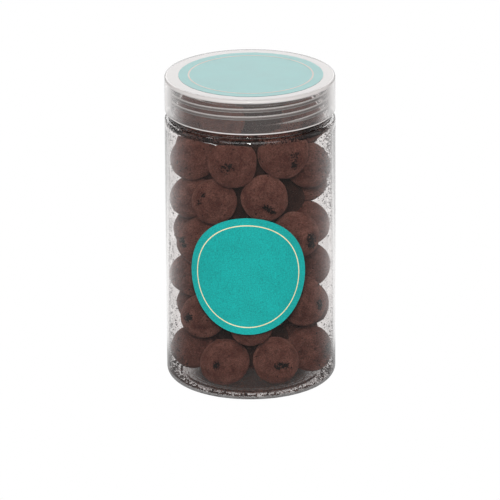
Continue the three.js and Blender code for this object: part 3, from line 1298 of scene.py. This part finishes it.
ROWS = (
    Row(
        level=12.6,
        behind=3,
        shown=(
            (-79, 13.4, 9.1), (-27, 12.6, 9.8), (25, 13.4, 9.6), (79, 12.6, 9.3),
        ),
    ),
    Row(
        level=28.5,
        behind=2,
        shown=(
            (-124, 24, 9.0), (-53, 30.4, 9.3), (0, 30.2, 9.1), (67, 35, 9.9), (104, 27, 9.0),
        ),
    ),
    Row(
        level=46.0,
        behind=3,
        shown=(
            (-76, 48, 9.1), (-24, 47.5, 9.4), (27, 47.5, 9.3), (101, 45.2, 9.0),
        ),
    ),
    Row(
        level=64.0,
        behind=2,
        shown=(
            (-112, 61.5, 8.9), (-64, 62.9, 9.6), (-8, 65.5, 9.3), (50, 66, 9.5), (102, 64.6, 9.1),
        ),
    ),
    Row(
        level=81.5,
        behind=3,
        shown=(
            (-79, 79.6, 9.0), (-39, 81.6, 9.1), (13, 85, 9.5), (111, 82.8, 8.8),
        ),
    ),
    Row(
        level=97.5,
        behind=2,
        shown=(
            (-114, 93.5, 8.6), (-73, 94, 9.3), (-17, 98.9, 10), (35, 102.3, 10.2), (81, 92, 9.3),
        ),
    ),
    Row(
        level=113.0,
        behind=2,
        shown=(
            (-135, 112, 9.1), (-80, 114, 9.0), (-30, 117.2, 9.0), (85, 109.5, 9.2),
        ),
    ),
)


class Wear(Enum):
    """How a dragee has lost its powder: to bare cracked chocolate, or only thinned."""

    BARE = 2.3
    THINNED = 1.0


@dataclass
class Scuff:
    """A worn place on a shown dragee, as seen from the front.

    Its middle is given from the sweet's own middle, to the right and up, in millimetres, and half
    its width and height likewise.
    """

    row: int
    place: int
    right: float
    up: float
    half_width: float
    half_height: float
    wear: Wear = Wear.BARE


SCUFFS = (
    Scuff(5, 3, 4.3, -5.3, 1.2, 1.6),
    Scuff(5, 3, 4.7, -1.6, 3.0, 3.4, Wear.THINNED),
    Scuff(5, 2, -2.0, -1.9, 5.0, 2.8, Wear.THINNED),
    Scuff(5, 2, -1.1, -1.4, 0.7, 0.6),
    Scuff(5, 2, -1.5, 8.0, 1.4, 0.7, Wear.THINNED),
    Scuff(5, 1, -6.2, -1.8, 0.7, 0.6),
    Scuff(4, 2, 0.4, -4.1, 1.3, 1.0),
    Scuff(4, 2, 2.0, -5.2, 1.5, 1.1),
    Scuff(4, 2, 3.5, -6.3, 1.2, 0.9),
    Scuff(4, 1, -4.5, 2.9, 1.0, 1.0),
    Scuff(4, 1, -6.2, -0.2, 1.2, 2.4, Wear.THINNED),
    Scuff(3, 3, 6.2, -1.2, 1.9, 1.9),
    Scuff(3, 3, 6.0, -4.2, 2.0, 1.6),
    Scuff(3, 3, 6.2, -2.6, 3.0, 4.0, Wear.THINNED),
    Scuff(3, 1, -7.0, 0.3, 1.2, 1.3),
    Scuff(3, 1, -6.4, -1.9, 1.3, 1.0),
    Scuff(1, 1, -5.9, -0.8, 1.4, 1.9),
    Scuff(1, 3, 7.2, -1.4, 1.3, 2.1),
    Scuff(0, 1, -3.4, -1.4, 1.3, 1.9),
    Scuff(0, 2, 1.3, -2.2, 2.0, 1.4),
    Scuff(0, 2, 3.6, -2.2, 1.9, 1.3),
    Scuff(0, 3, 7.8, 0.2, 1.1, 2.0),
)


@dataclass
class DrageeHeap:
    """The sweets in the jar: rows round the wall and a column in the middle, pushed apart until
    they only touch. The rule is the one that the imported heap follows."""

    wall_inside: float = 34.0
    throat: float = 31.2
    throat_low: float = 112.6
    clearance: float = 0.35  # between the sweets and the wall or floor
    floor: float = 2.5
    usual_radius: float = 9.3
    spread: float = 0.5
    height_sway: float = 2.0
    height_step: float = 1.7
    height_row_step: float = 0.3
    size_step: float = 2.4
    passes: int = 120
    shown_give: float = 0.15  # how readily a shown sweet is pushed aside, where the others have 1
    column_start: float = 12.0
    column_step: float = 19.0
    column_count: int = 6
    column_sway: float = 1.2
    column_turn: float = 137.0
    meridians: int = 56
    parallels: int = 28
    lumps: float = 0.22  # how far the surface rises and falls
    fine_lumps: float = 0.35  # how strong the smaller lumps are beside the broad ones
    broad_length: float = 1.5  # wavelengths of both, in radii
    fine_length: float = 0.55
    stretch: tuple[float, float] = (-0.025, 0.02)  # how much longer or shorter an axis is
    dent: float = 0.35  # a worn place lies this deep times its "bare" value
    dent_full: float = 0.6  # which counts up to here
    wall_gap: float = 0.12
    core_low: float = 9.0
    core_high: float = 118.0
    core_least: float = 12.0
    core_offset: float = 6.5
    core_turn: float = 99.0
    core_step: float = 4.7
    core_balls: int = 24
    # The set-back sweet's azimuth, distance from the axis, height and radius.
    set_back: tuple[float, float, float, float] = (104.0, 14.3, 77.0, 9.0)
    core_sides: int = 120
    core_rows: int = 130
    seed: int = 7
    middles: np.ndarray = field(init=False)
    radii: np.ndarray = field(init=False)
    first_of_row: list[int] = field(init=False)

    def farthest_out(self, height: np.ndarray, radius: np.ndarray) -> np.ndarray:
        """How far from the axis the middle of a sweet can lie: it meets the wall, or in the throat
        the narrower neck."""
        at_wall = self.wall_inside - self.clearance - radius
        below = np.maximum(0, self.throat_low - height)
        reach = np.sqrt(np.maximum(radius**2 - below**2, 0))
        return np.where(
            below >= radius, at_wall, np.minimum(at_wall, self.throat - self.clearance - reach)
        )

    def pour(self) -> None:
        """Lays every sweet before the heap settles, and settles it.

        In each pass two sweets that overlap are pushed apart by half the overlap, shared by how
        readily each moves; then those by the wall go back to it and none sinks into the floor.
        """
        rows, self.first_of_row = [], []
        for row in ROWS:
            self.first_of_row.append(len(rows))
            rows += [
                (azimuth, height, radius, self.shown_give) for azimuth, height, radius in row.shown
            ]
            first = row.shown[-1][0]
            gap = (row.shown[0][0] + 360 - first) / (row.behind + 1)
            for k in range(1, row.behind + 1):
                radius = self.usual_radius + self.spread * math.sin(self.size_step * k + row.level)
                rise = self.height_sway * math.sin(
                    self.height_step * k + self.height_row_step * row.level
                )
                rows.append((first + gap * k, row.level + rise, radius, 1.0))
        azimuth, height, radius, give = np.array(rows, float).T
        on_wall = around(self.farthest_out(height, radius), azimuth, height)
        k = np.arange(self.column_count)
        levels = self.column_start + self.column_step * k
        column = around(np.full(len(k), self.column_sway), self.column_turn * k, levels)
        middles = np.vstack([on_wall, column])
        radius = np.concatenate([radius, np.full(len(k), self.usual_radius)])
        give = np.concatenate([give, np.ones(len(k))])
        leans = np.arange(len(middles)) < len(on_wall)
        for _ in range(self.passes):
            apart = middles[:, None] - middles[None]
            distance = np.linalg.norm(apart, axis=-1) + np.eye(len(middles)) * 1e9
            overlap = np.maximum(radius[:, None] + radius[None] - distance, 0)
            push = 0.5 * overlap / distance / (give[:, None] + give[None]) * give[:, None]
            middles = middles + (apart * push[..., None]).sum(axis=1)
            farthest = self.farthest_out(middles[:, 2], radius)
            reach = np.hypot(middles[:, 0], middles[:, 1])
            scale = np.where(leans | (reach > farthest), farthest / reach, 1.0)
            middles[:, :2] *= scale[:, None]
            middles[:, 2] = np.maximum(middles[:, 2], self.floor + self.clearance + radius)
        self.middles, self.radii = middles, radius

    def core(self, material: bpy.types.Material) -> bpy.types.Object:
        """Makes what shows in the gaps: the sweets further in, as one bumpy column.

        Its balls climb a spiral about the axis. At azimuth a and height z the column reaches as far
        as the farthest ball does: c cos d + sqrt(r^2 - (z - h)^2 - (c sin d)^2), where c is the
        distance of a ball from the axis, h its height and d its azimuth less a. One more ball is
        the set-back sweet that shows between two in front.

        Args:
            material: a darker copy of the sweets' cocoa: painted shade.

        Returns:
            The closed column.
        """
        azimuth = np.arange(self.core_sides) * 360 / self.core_sides
        height = np.linspace(self.core_low, self.core_high, self.core_rows)[:, None]
        reach = np.full((self.core_rows, self.core_sides), self.core_least)
        balls = [
            (
                ball * self.core_turn,
                self.core_offset,
                self.core_low + self.core_step * ball,
                self.usual_radius,
            )
            for ball in range(self.core_balls)
        ]
        for toward, offset, level, radius in [*balls, self.set_back]:
            turn = np.radians(azimuth - toward)
            under = radius**2 - (height - level) ** 2 - (offset * np.sin(turn)) ** 2
            far = offset * np.cos(turn) + np.sqrt(np.maximum(under, 0))
            reach = np.where(under > 0, np.maximum(reach, far), reach)
        rings = around(reach, azimuth, height).reshape(-1, 3)
        points = np.vstack([[0, 0, self.core_low], rings, [0, 0, self.core_high]])
        faces = capped_rings(self.core_rows, self.core_sides)
        piece = make_object("inner_dragees", points, faces, crease=40)
        # the darkest tint everywhere: painted shade on the column further in
        paint_values(piece, "tint", np.full(len(points), 1.0))
        settle(piece, material, "cocoa_dusted_chocolate", "dragee_heap")
        return piece

    def ball(self) -> tuple[np.ndarray, list[np.ndarray]]:
        """A unit ball of rings of latitude, as points and faces."""
        latitude = np.radians(np.linspace(-90, 90, self.parallels + 1)[1:-1])
        longitude = np.arange(self.meridians) * 360 / self.meridians
        rings = around(
            np.cos(latitude)[:, None], longitude[None], np.sin(latitude)[:, None]
        ).reshape(-1, 3)
        points = np.vstack([[0, 0, -1], rings, [0, 0, 1]])
        return points, capped_rings(len(latitude), self.meridians)

    def worn(self, ways: np.ndarray, index: int, view: ViewPoint) -> np.ndarray:
        """How far the powder is gone on one sweet.

        Args:
            ways: (n, 3) unit directions from the sweet's middle.
            index: the sweet's number.
            view: the front view that the scuffs are given in.

        Returns:
            For each direction the strongest scuff's value, which falls off as exp(-d^2), where d is
            the distance from its middle in half widths.
        """
        right, up, back = (np.array(axis) for axis in view.axes())
        values = np.zeros(len(ways))
        for scuff in SCUFFS:
            if self.first_of_row[scuff.row] + scuff.place != index:
                continue
            seen = ways * self.radii[index]
            aside = (seen @ right - scuff.right) / scuff.half_width
            above = (seen @ up - scuff.up) / scuff.half_height
            near = np.exp(-(aside**2 + above**2)) * (ways @ back > 0)
            values = np.maximum(values, near * scuff.wear.value)
        return values

    def stray_scuffs(self, ways: np.ndarray, draw: np.random.Generator) -> np.ndarray:
        """One or two worn places at random directions, for sweets that the front doesn't show."""
        centres = draw.normal(size=(2, 3))
        centres /= np.linalg.norm(centres, axis=1, keepdims=True)
        strength = draw.uniform(0.3, Wear.BARE.value, 2) * (draw.uniform(size=2) < 0.7)
        width = draw.uniform(0.09, 0.17, 2)
        apart = np.linalg.norm(ways[:, None] - centres[None], axis=-1) / width
        return (np.exp(-(apart**2)) * strength).max(axis=1)

    def build(self, material: bpy.types.Material, view: ViewPoint) -> bpy.types.Object:
        """Makes the sweets as one mesh.

        Each is a ball stretched a little along its own axes, with soft lumps, and it is kept off
        the wall.

        Args:
            material: their cocoa.
            view: the front view that the scuffs are given in.

        Returns:
            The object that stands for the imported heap.
        """
        self.pour()
        ways, ball_faces = self.ball()
        draw = np.random.default_rng(self.seed)
        shown = {
            first + place
            for first, row in zip(self.first_of_row, ROWS)
            for place in range(len(row.shown))
        }
        points, bare, tint = [], [], []
        for index, (middle, radius) in enumerate(zip(self.middles, self.radii)):
            spin = np.linalg.qr(draw.normal(size=(3, 3)))[0]
            stretch = 1 + draw.uniform(*self.stretch, 3)
            shape = (ways @ spin * stretch) @ spin.T * radius
            broad = waves(ways, self.broad_length, 5, draw)[:, None]
            fine = waves(ways, self.fine_length, 6, draw)[:, None]
            shape += ways * self.lumps * (broad + self.fine_lumps * fine)
            worn = self.worn(ways, index, view)
            if index not in shown:
                worn = np.maximum(worn, self.stray_scuffs(ways, draw))
            shape -= ways * self.dent * np.clip(worn, 0, self.dent_full)[:, None]
            place = middle + shape
            reach = np.hypot(place[:, 0], place[:, 1])
            place[:, :2] *= np.minimum(1, (self.wall_inside - self.wall_gap) / reach)[:, None]
            points.append(place)
            bare.append(worn)
            tint.append(np.full(len(ways), draw.uniform()))
        size = len(ways)
        faces = [
            (kind[None] + size * np.arange(len(points))[:, None, None]).reshape(-1, kind.shape[1])
            for kind in ball_faces
        ]
        piece = make_object("cocoa_dragees", np.vstack(points), faces, crease=80)
        paint_values(piece, "bare", np.concatenate(bare))
        paint_values(piece, "tint", np.concatenate(tint))
        settle(piece, material, "cocoa_dusted_chocolate", "dragee_heap")
        return piece


# ---- Loose cocoa --------------------------------------------------------------------------------


@dataclass
class LooseDust:
    """Powder that clings to the inside of the wall, and crumbs that lie in the bottom corner."""

    wall_inside: float = 34.0
    heel: float = 3.7
    wall: float = 1.0
    lowest: float = 5.0
    highest: float = 111.0
    shade_band_start: tuple[float, float] = (109.8, 110.8)  # heights between which the powder's painted shade starts in the shoulder
    shade_band_end: tuple[float, float] = (113.5, 116.0)  # and between which it ends
    fine_count: int = 5200
    fine_tries: int = 9  # places drawn for each speck, of which the thin parts drop most
    speck_least: float = 0.16
    speck_spread: float = 0.1
    speck_most: float = 0.55
    crumb_count: int = 3200
    crumb_least: float = 0.18
    crumb_spread: float = 0.2
    crumb_most: float = 1.0
    seed: int = 21

    def in_shoulder_shade(self, height: np.ndarray) -> np.ndarray:
        """0 below the shoulder and 1 from where its powder is painted near black, as shade under
        the lid.
        """
        return smooth(*self.shade_band_start, height)

    def thickness(
        self, azimuth: np.ndarray, height: np.ndarray, distance: np.ndarray
    ) -> np.ndarray:
        """How much of the jar's inside is covered by powder, from 0 to 1.

        It is a thin film with soft clouds, thicker in front and on the right from halfway up, with
        a layer in the bottom corner and on the floor, and it covers much of the shoulder, most at
        the right and left of the front, where the jar's material paints it near black as shade.

        Args:
            azimuth: azimuths in degrees, -180 to 180.
            height: heights.
            distance: distances from the axis.

        Returns:
            The covered share.
        """
        clouds = 0.5 + 0.5 * np.sin(azimuth / 23 + height / 17) * np.sin(height / 11 - azimuth / 31)
        right = np.exp(-(((azimuth - 70) / 22) ** 2)) * smooth(60, 105, height)
        low = np.exp(-(np.maximum(height - 3, 0) / 6))
        on_floor = smooth(0, 1, (33.2 - distance) / 2) * smooth(0, 1, (4 - height) / 2)
        foot = smooth(29.5, 31, distance) * smooth(0, 1, (2.6 - height) / 1.4)
        middle = np.exp(-((azimuth / 55) ** 4))
        # the shoulder band, where the powder stands for painted shade
        shoulder = self.in_shoulder_shade(height) * (1 - smooth(*self.shade_band_end, height))
        on_right = 0.6 * np.exp(-(((azimuth - 48) / 18) ** 2))
        on_left = 0.45 * np.exp(-(((azimuth + 66) / 26) ** 2))
        share = 0.012 + 0.05 * middle * (0.5 + clouds) + 0.1 * right
        share += 0.16 * low + 0.2 * on_floor + 0.12 * foot
        share *= 1 - smooth(self.shade_band_start[0], self.highest, height)
        return np.clip(share + shoulder * (0.35 + on_right + on_left), 0.001, 0.97)

    def speckle(self, azimuth: np.ndarray, height: np.ndarray) -> np.ndarray:
        """How thick the single grains lie on the wall, from 0 to 1: dense on the right near the
        shoulder and low down, sparse elsewhere."""
        right = np.exp(-(((azimuth - 74) / 17) ** 2)) * smooth(62, 104, height)
        corner = np.exp(-(((azimuth - 72) / 22) ** 2)) * (1 - smooth(8, 32, height))
        left = np.exp(-(((azimuth + 76) / 22) ** 2)) * (0.1 + 0.35 * (1 - smooth(6, 40, height)))
        return np.clip(0.035 + 0.9 * right + 0.6 * corner + left, 0, 1)

    def threshold(self, share: np.ndarray) -> np.ndarray:
        """The value to add to a noise round 0.5 so that this share of it passes 1."""
        return 0.5 + 0.075 * np.log(share / (1 - share))

    def specks(self, material: bpy.types.Material) -> bpy.types.Object:
        """Makes the powder on the wall.

        Args:
            material: the cocoa.

        Returns:
            Round specks that lie against the inside of the wall.
        """
        draw = np.random.default_rng(self.seed)
        tries = self.fine_count * self.fine_tries
        azimuth = draw.uniform(-180, 180, tries)
        height = draw.uniform(self.lowest, self.highest, tries)
        keep = draw.uniform(size=tries) < self.speckle(azimuth, height)
        azimuth, height = azimuth[keep][: self.fine_count], height[keep][: self.fine_count]
        spread = self.speck_spread * draw.exponential(size=len(azimuth))
        size = np.minimum(self.speck_least + spread, self.speck_most)
        one, level = np.ones(len(azimuth)), np.zeros(len(azimuth))
        out = around(one, azimuth, level)
        along = around(one, azimuth + 90, level)
        frames = np.stack([along, np.broadcast_to([0.0, 0.0, 1.0], along.shape), out], axis=1)
        flat = 0.8 * size
        middles = around(self.wall_inside - flat * 1.1, azimuth, height)
        sizes = np.stack([size * draw.uniform(0.6, 1.4, len(size)), size, flat], axis=1)
        piece = scattered("wall_dust", middles, sizes, frames, draw)
        settle(piece, material, "cocoa_dusted_chocolate")
        return piece

    def crumbs(self, material: bpy.types.Material) -> bpy.types.Object:
        """Makes the crumbs in the corner between floor and wall.

        A crumb's place is an angle on the inner heel's quarter circle, drawn towards its foot.

        Args:
            material: the cocoa.

        Returns:
            The joined crumbs.
        """
        draw = np.random.default_rng(self.seed + 1)
        count = self.crumb_count
        azimuth = draw.uniform(-180, 180, count)
        along = np.stack([azimuth / 9, azimuth * 0, azimuth * 0], 1)
        clumps = 0.5 + 0.5 * waves(along, 2.5, 6, draw)
        left = np.exp(-(((azimuth + 60) / 30) ** 2))
        keep = draw.uniform(size=count) < 0.2 + 0.5 * clumps + 0.6 * left
        azimuth = azimuth[keep]
        count = len(azimuth)
        spread = self.crumb_spread * draw.exponential(size=count) * (1 + 0.5 * left[keep])
        size = np.minimum(self.crumb_least + spread, self.crumb_most)
        angle = np.radians(-90 + 85 * draw.beta(1.0, 2.2, count))
        bend = self.heel - self.wall - size * 0.7
        middle = self.wall_inside + self.wall - self.heel
        inwards = draw.uniform(0, 1, count) ** 2 * 3.5 * (angle < math.radians(-70))
        distance = middle + bend * np.cos(angle) - inwards
        height = self.heel + bend * np.sin(angle)
        frames = np.linalg.qr(draw.normal(size=(count, 3, 3)))[0]
        sizes = size[:, None] * draw.uniform(0.55, 1.0, (count, 3))
        piece = scattered("bottom_crumbs", around(distance, azimuth, height), sizes, frames, draw)
        settle(piece, material, "cocoa_dusted_chocolate")
        return piece


# ---- Studio -------------------------------------------------------------------------------------


@dataclass(frozen=True)
class SoftBox:
    """A lamp with a rectangular face that points at the middle of the jar."""

    name: str
    place: tuple[float, float, float]
    size: tuple[float, float]  # width and height
    radiance: float  # how bright its face looks, where 1 is white


SOFT_BOXES = (
    SoftBox("key_box", (-60, -2300, 1150), (300, 500), 42.0),
    SoftBox("wide_box", (0, -1800, 1500), (3000, 1600), 1.7),
    SoftBox("back_box", (0, 1500, 760), (2400, 1000), 2.35),
    SoftBox("left_box", (-1300, 200, 500), (400, 900), 0.5),
    SoftBox("right_box", (1300, 200, 500), (400, 900), 0.5),
)


@dataclass
class Studio:
    """A white floor that fills the view, soft lamps and a pale surround.

    The floor looks white, also through the clear wall, but a shadow is painted on it under the jar.
    What mirrors in the wall is darker in front and close to the jar than behind, as in a room where
    only the sweep behind the object is lit.
    """

    floor_half: float = 6000.0
    floor_drop: float = 0.05  # how far it lies under the jar
    white: float = 1.0
    floor_bounce: float = 0.8
    room_bounce: float = 0.36
    room_mirrored: float = 0.3
    mirrored_front: float = 0.12
    mirrored_side: float = 0.95
    mirrored_back: float = 0.65
    mirrored_near: float = 0.26  # close to the jar, where the floor mirrors in its heel
    front_end: float = 70.0  # azimuth to which the floor mirrors as it does in front
    side_start: float = 150.0  # and from which it mirrors as at the side
    side_end: float = 154.0
    back_start: float = 168.0
    near_end: float = 42.0  # distance from the axis to which it mirrors as close to the jar
    far_start: float = 62.0
    painted_shadow_inner: float = 20.0  # a shadow is painted on the floor under the jar, darkest up to here
    painted_shadow_outer: float = 32.5  # and white from here
    painted_shadow_level: float = 0.05
    aim: float = 65.0  # height that the lamps point at

    def by_path(
        self,
        tree: bpy.types.NodeTree,
        plain: bpy.types.NodeSocket | float,
        mirrored: bpy.types.NodeSocket | float,
        bounce: float,
    ) -> bpy.types.NodeSocket:
        """A brightness that depends on how the light got here.

        Args:
            tree: the node tree.
            plain: brightness as seen directly or through clear plastic.
            mirrored: brightness after a reflection.
            bounce: brightness that falls on matte surfaces.

        Returns:
            One of the three.
        """
        path = add_node(tree, "LightPath")
        gleam = add_node(
            tree, "Math", {0: path.outputs["Glossy Depth"], 1: 0.5}, operation="GREATER_THAN"
        )
        matte = add_node(
            tree, "Math", {0: path.outputs["Diffuse Depth"], 1: 0.5}, operation="GREATER_THAN"
        )
        seen = add_node(
            tree, "Mix", {0: gleam.outputs[0], 2: plain, 3: mirrored}, data_type="FLOAT"
        )
        links = {0: matte.outputs[0], 2: seen.outputs[0], 3: bounce}
        return add_node(tree, "Mix", links, data_type="FLOAT").outputs[0]

    def floor(self) -> bpy.types.Object:
        """Makes the floor, just under the object."""
        half, low = self.floor_half, -self.floor_drop
        square = [(-half, -half, low), (half, -half, low), (half, half, low), (-half, half, low)]
        piece = make_object("floor", np.array(square), [np.array([[0, 1, 2, 3]])])
        material, tree, output = new_material("white_sweep")
        where = add_node(tree, "TexCoord").outputs["Object"]
        place = add_node(tree, "SeparateXYZ", {0: where})
        aside = add_node(tree, "Math", {0: place.outputs["X"]}, operation="ABSOLUTE")
        ahead = add_node(tree, "Math", {0: place.outputs["Y"], 1: -1.0}, operation="MULTIPLY")
        turn = add_node(
            tree, "Math", {0: aside.outputs[0], 1: ahead.outputs[0]}, operation="ARCTAN2"
        )
        side = add_node(
            tree,
            "MapRange",
            {
                0: turn.outputs[0],
                "From Min": math.radians(self.front_end),
                "From Max": math.radians(self.side_start),
                "To Min": self.mirrored_front,
                "To Max": self.mirrored_side,
            },
            interpolation_type="SMOOTHSTEP",
        )
        mirrored = add_node(
            tree,
            "MapRange",
            {
                0: turn.outputs[0],
                "From Min": math.radians(self.side_end),
                "From Max": math.radians(self.back_start),
                "To Min": side.outputs[0],
                "To Max": self.mirrored_back,
            },
            interpolation_type="SMOOTHSTEP",
        )
        off = add_node(tree, "VectorMath", {0: where}, operation="LENGTH")
        # painted shadow: the floor is dark under the jar
        plain = add_node(
            tree,
            "MapRange",
            {
                0: off.outputs["Value"],
                "From Min": self.painted_shadow_inner * METRE,
                "From Max": self.painted_shadow_outer * METRE,
                "To Min": self.painted_shadow_level,
                "To Max": self.white,
            },
            interpolation_type="SMOOTHSTEP",
        )
        nearby = add_node(
            tree,
            "MapRange",
            {
                0: off.outputs["Value"],
                "From Min": self.near_end * METRE,
                "From Max": self.far_start * METRE,
                "To Min": self.mirrored_near,
                "To Max": mirrored.outputs[0],
            },
            interpolation_type="SMOOTHSTEP",
        )
        strength = self.by_path(tree, plain.outputs[0], nearby.outputs[0], self.floor_bounce)
        glow = add_node(tree, "Emission", {"Color": (1, 1, 1, 1), "Strength": strength})
        tree.links.new(glow.outputs[0], output.inputs["Surface"])
        piece.data.materials.append(material)
        return piece

    def surroundings(self) -> None:
        """Makes the world: white where it is seen, and a dim pale room to everything else."""
        world = bpy.data.worlds.new("pale_room")
        bpy.context.scene.world = world
        world.use_nodes = True
        tree = world.node_tree
        tree.nodes.clear()
        strength = self.by_path(tree, self.white, self.room_mirrored, self.room_bounce)
        background = add_node(tree, "Background", {"Color": (1, 1, 1, 1), "Strength": strength})
        output = add_node(tree, "OutputWorld")
        tree.links.new(background.outputs[0], output.inputs["Surface"])

    def hang(self, box: SoftBox) -> None:
        """Hangs a lamp. Its power is pi times area times radiance.

        Args:
            box: what it is like and where it hangs.
        """
        data = bpy.data.lights.new(box.name, "AREA")
        data.shape = "RECTANGLE"
        data.size, data.size_y = (side * METRE for side in box.size)
        data.energy = math.pi * data.size * data.size_y * box.radiance
        lamp = bpy.data.objects.new(box.name, data)
        lamp.location = Vector(box.place) * METRE
        way = Vector((0, 0, self.aim * METRE)) - lamp.location
        lamp.rotation_mode = "QUATERNION"
        lamp.rotation_quaternion = way.to_track_quat("-Z", "Y")
        lamp.visible_camera = False
        lamp.visible_transmission = False
        bpy.context.scene.collection.objects.link(lamp)

    def build(self) -> None:
        """Makes the floor, the surround and the lamps."""
        self.floor()
        self.surroundings()
        for box in SOFT_BOXES:
            self.hang(box)
        scene = bpy.context.scene
        scene.view_settings.view_transform = "Standard"
        scene.view_settings.look = "None"
        scene.cycles.caustics_refractive = False
        scene.cycles.caustics_reflective = False


# ---- The whole ----------------------------------------------------------------------------------


def corners(bounds: tuple[Vector, Vector]) -> list[list[float]]:
    """The lowest and highest corner as plain lists."""
    return [list(corner) for corner in bounds]


def main() -> None:
    """Builds every piece in order."""
    logging.basicConfig(level=logging.INFO, format="%(name)s %(message)s")
    view = ViewPoint()
    view.place()
    Studio().build()
    dust = LooseDust()
    jar = Jar()
    jar.build(ClearPolyester().material(), dust)
    # fdfbfa is the white painted on the thread's flanks as highlight
    thick = HazyPlastic("thick_pet_of_the_thread", 1.575, "8c8482", "fdfbfa", rim_haze=0.97)
    jar.thread(thick.material())
    lid = ScrewLid()
    # dad5d3 is the lighter colour painted on the lid's rounded edge and foot, as light
    milky = HazyPlastic("moulded_milky_polypropylene", 1.49, "a9a4a2", "dad5d3", edge_haze=0.6)
    lid.build(milky.material())
    heap = DrageeHeap()
    heap.build(CocoaDusted().material(), view)
    # a darker copy of the cocoa for the column: painted shade on the sweets further in
    inner = CocoaDusted("shaded_inner_cocoa", thin="3b2823", thick="573c35")
    heap.core(inner.material())
    cocoa = LooseCocoa().material()
    dust.specks(cocoa)
    dust.crumbs(cocoa)
    satin = PrintedPaper(
        "lacquered_turquoise_paper", "059c97", "07a39e", gleam=0.3, fibre=0.4, grain=0.3
    )
    glossy = PrintedPaper("glossy_turquoise_paper", "068a88", "09918e", roughness=0.28, relief=0.2)
    gold = PrintedPaper("cream_gold_ink", "e6d8a8", "efe2b8", fibre=0.8)
    dull_gold = PrintedPaper("dull_gold_ink", "9a8d80", "a89a8c", roughness=0.28, fibre=0.8)
    front = RoundLabel(
        "front_label_paper",
        radius=25.2,
        ring_inset=3.2,
        ring_width=0.42,
        paper=0.12,
        wrap=wall_wrap(jar.radius + LABEL_GAP, azimuth=-2.2, height=54.8),
    )
    front.sheet(satin.material(), "label_paper", "front_label")
    front.printed_ring(gold.material(), "label_paper")
    top = RoundLabel(
        "lid_label_paper",
        radius=29.6,
        ring_inset=4.2,
        ring_width=0.7,
        paper=0.06,
        wrap=top_wrap(x=0.4, y=-0.4, height=lid.top + LID_LABEL_GAP),
    )
    top.sheet(glossy.material(), "lid_paper", "lid_sticker")
    top.printed_ring(dull_gold.material(), "lid_paper")


if __name__ == "__main__":
    main()
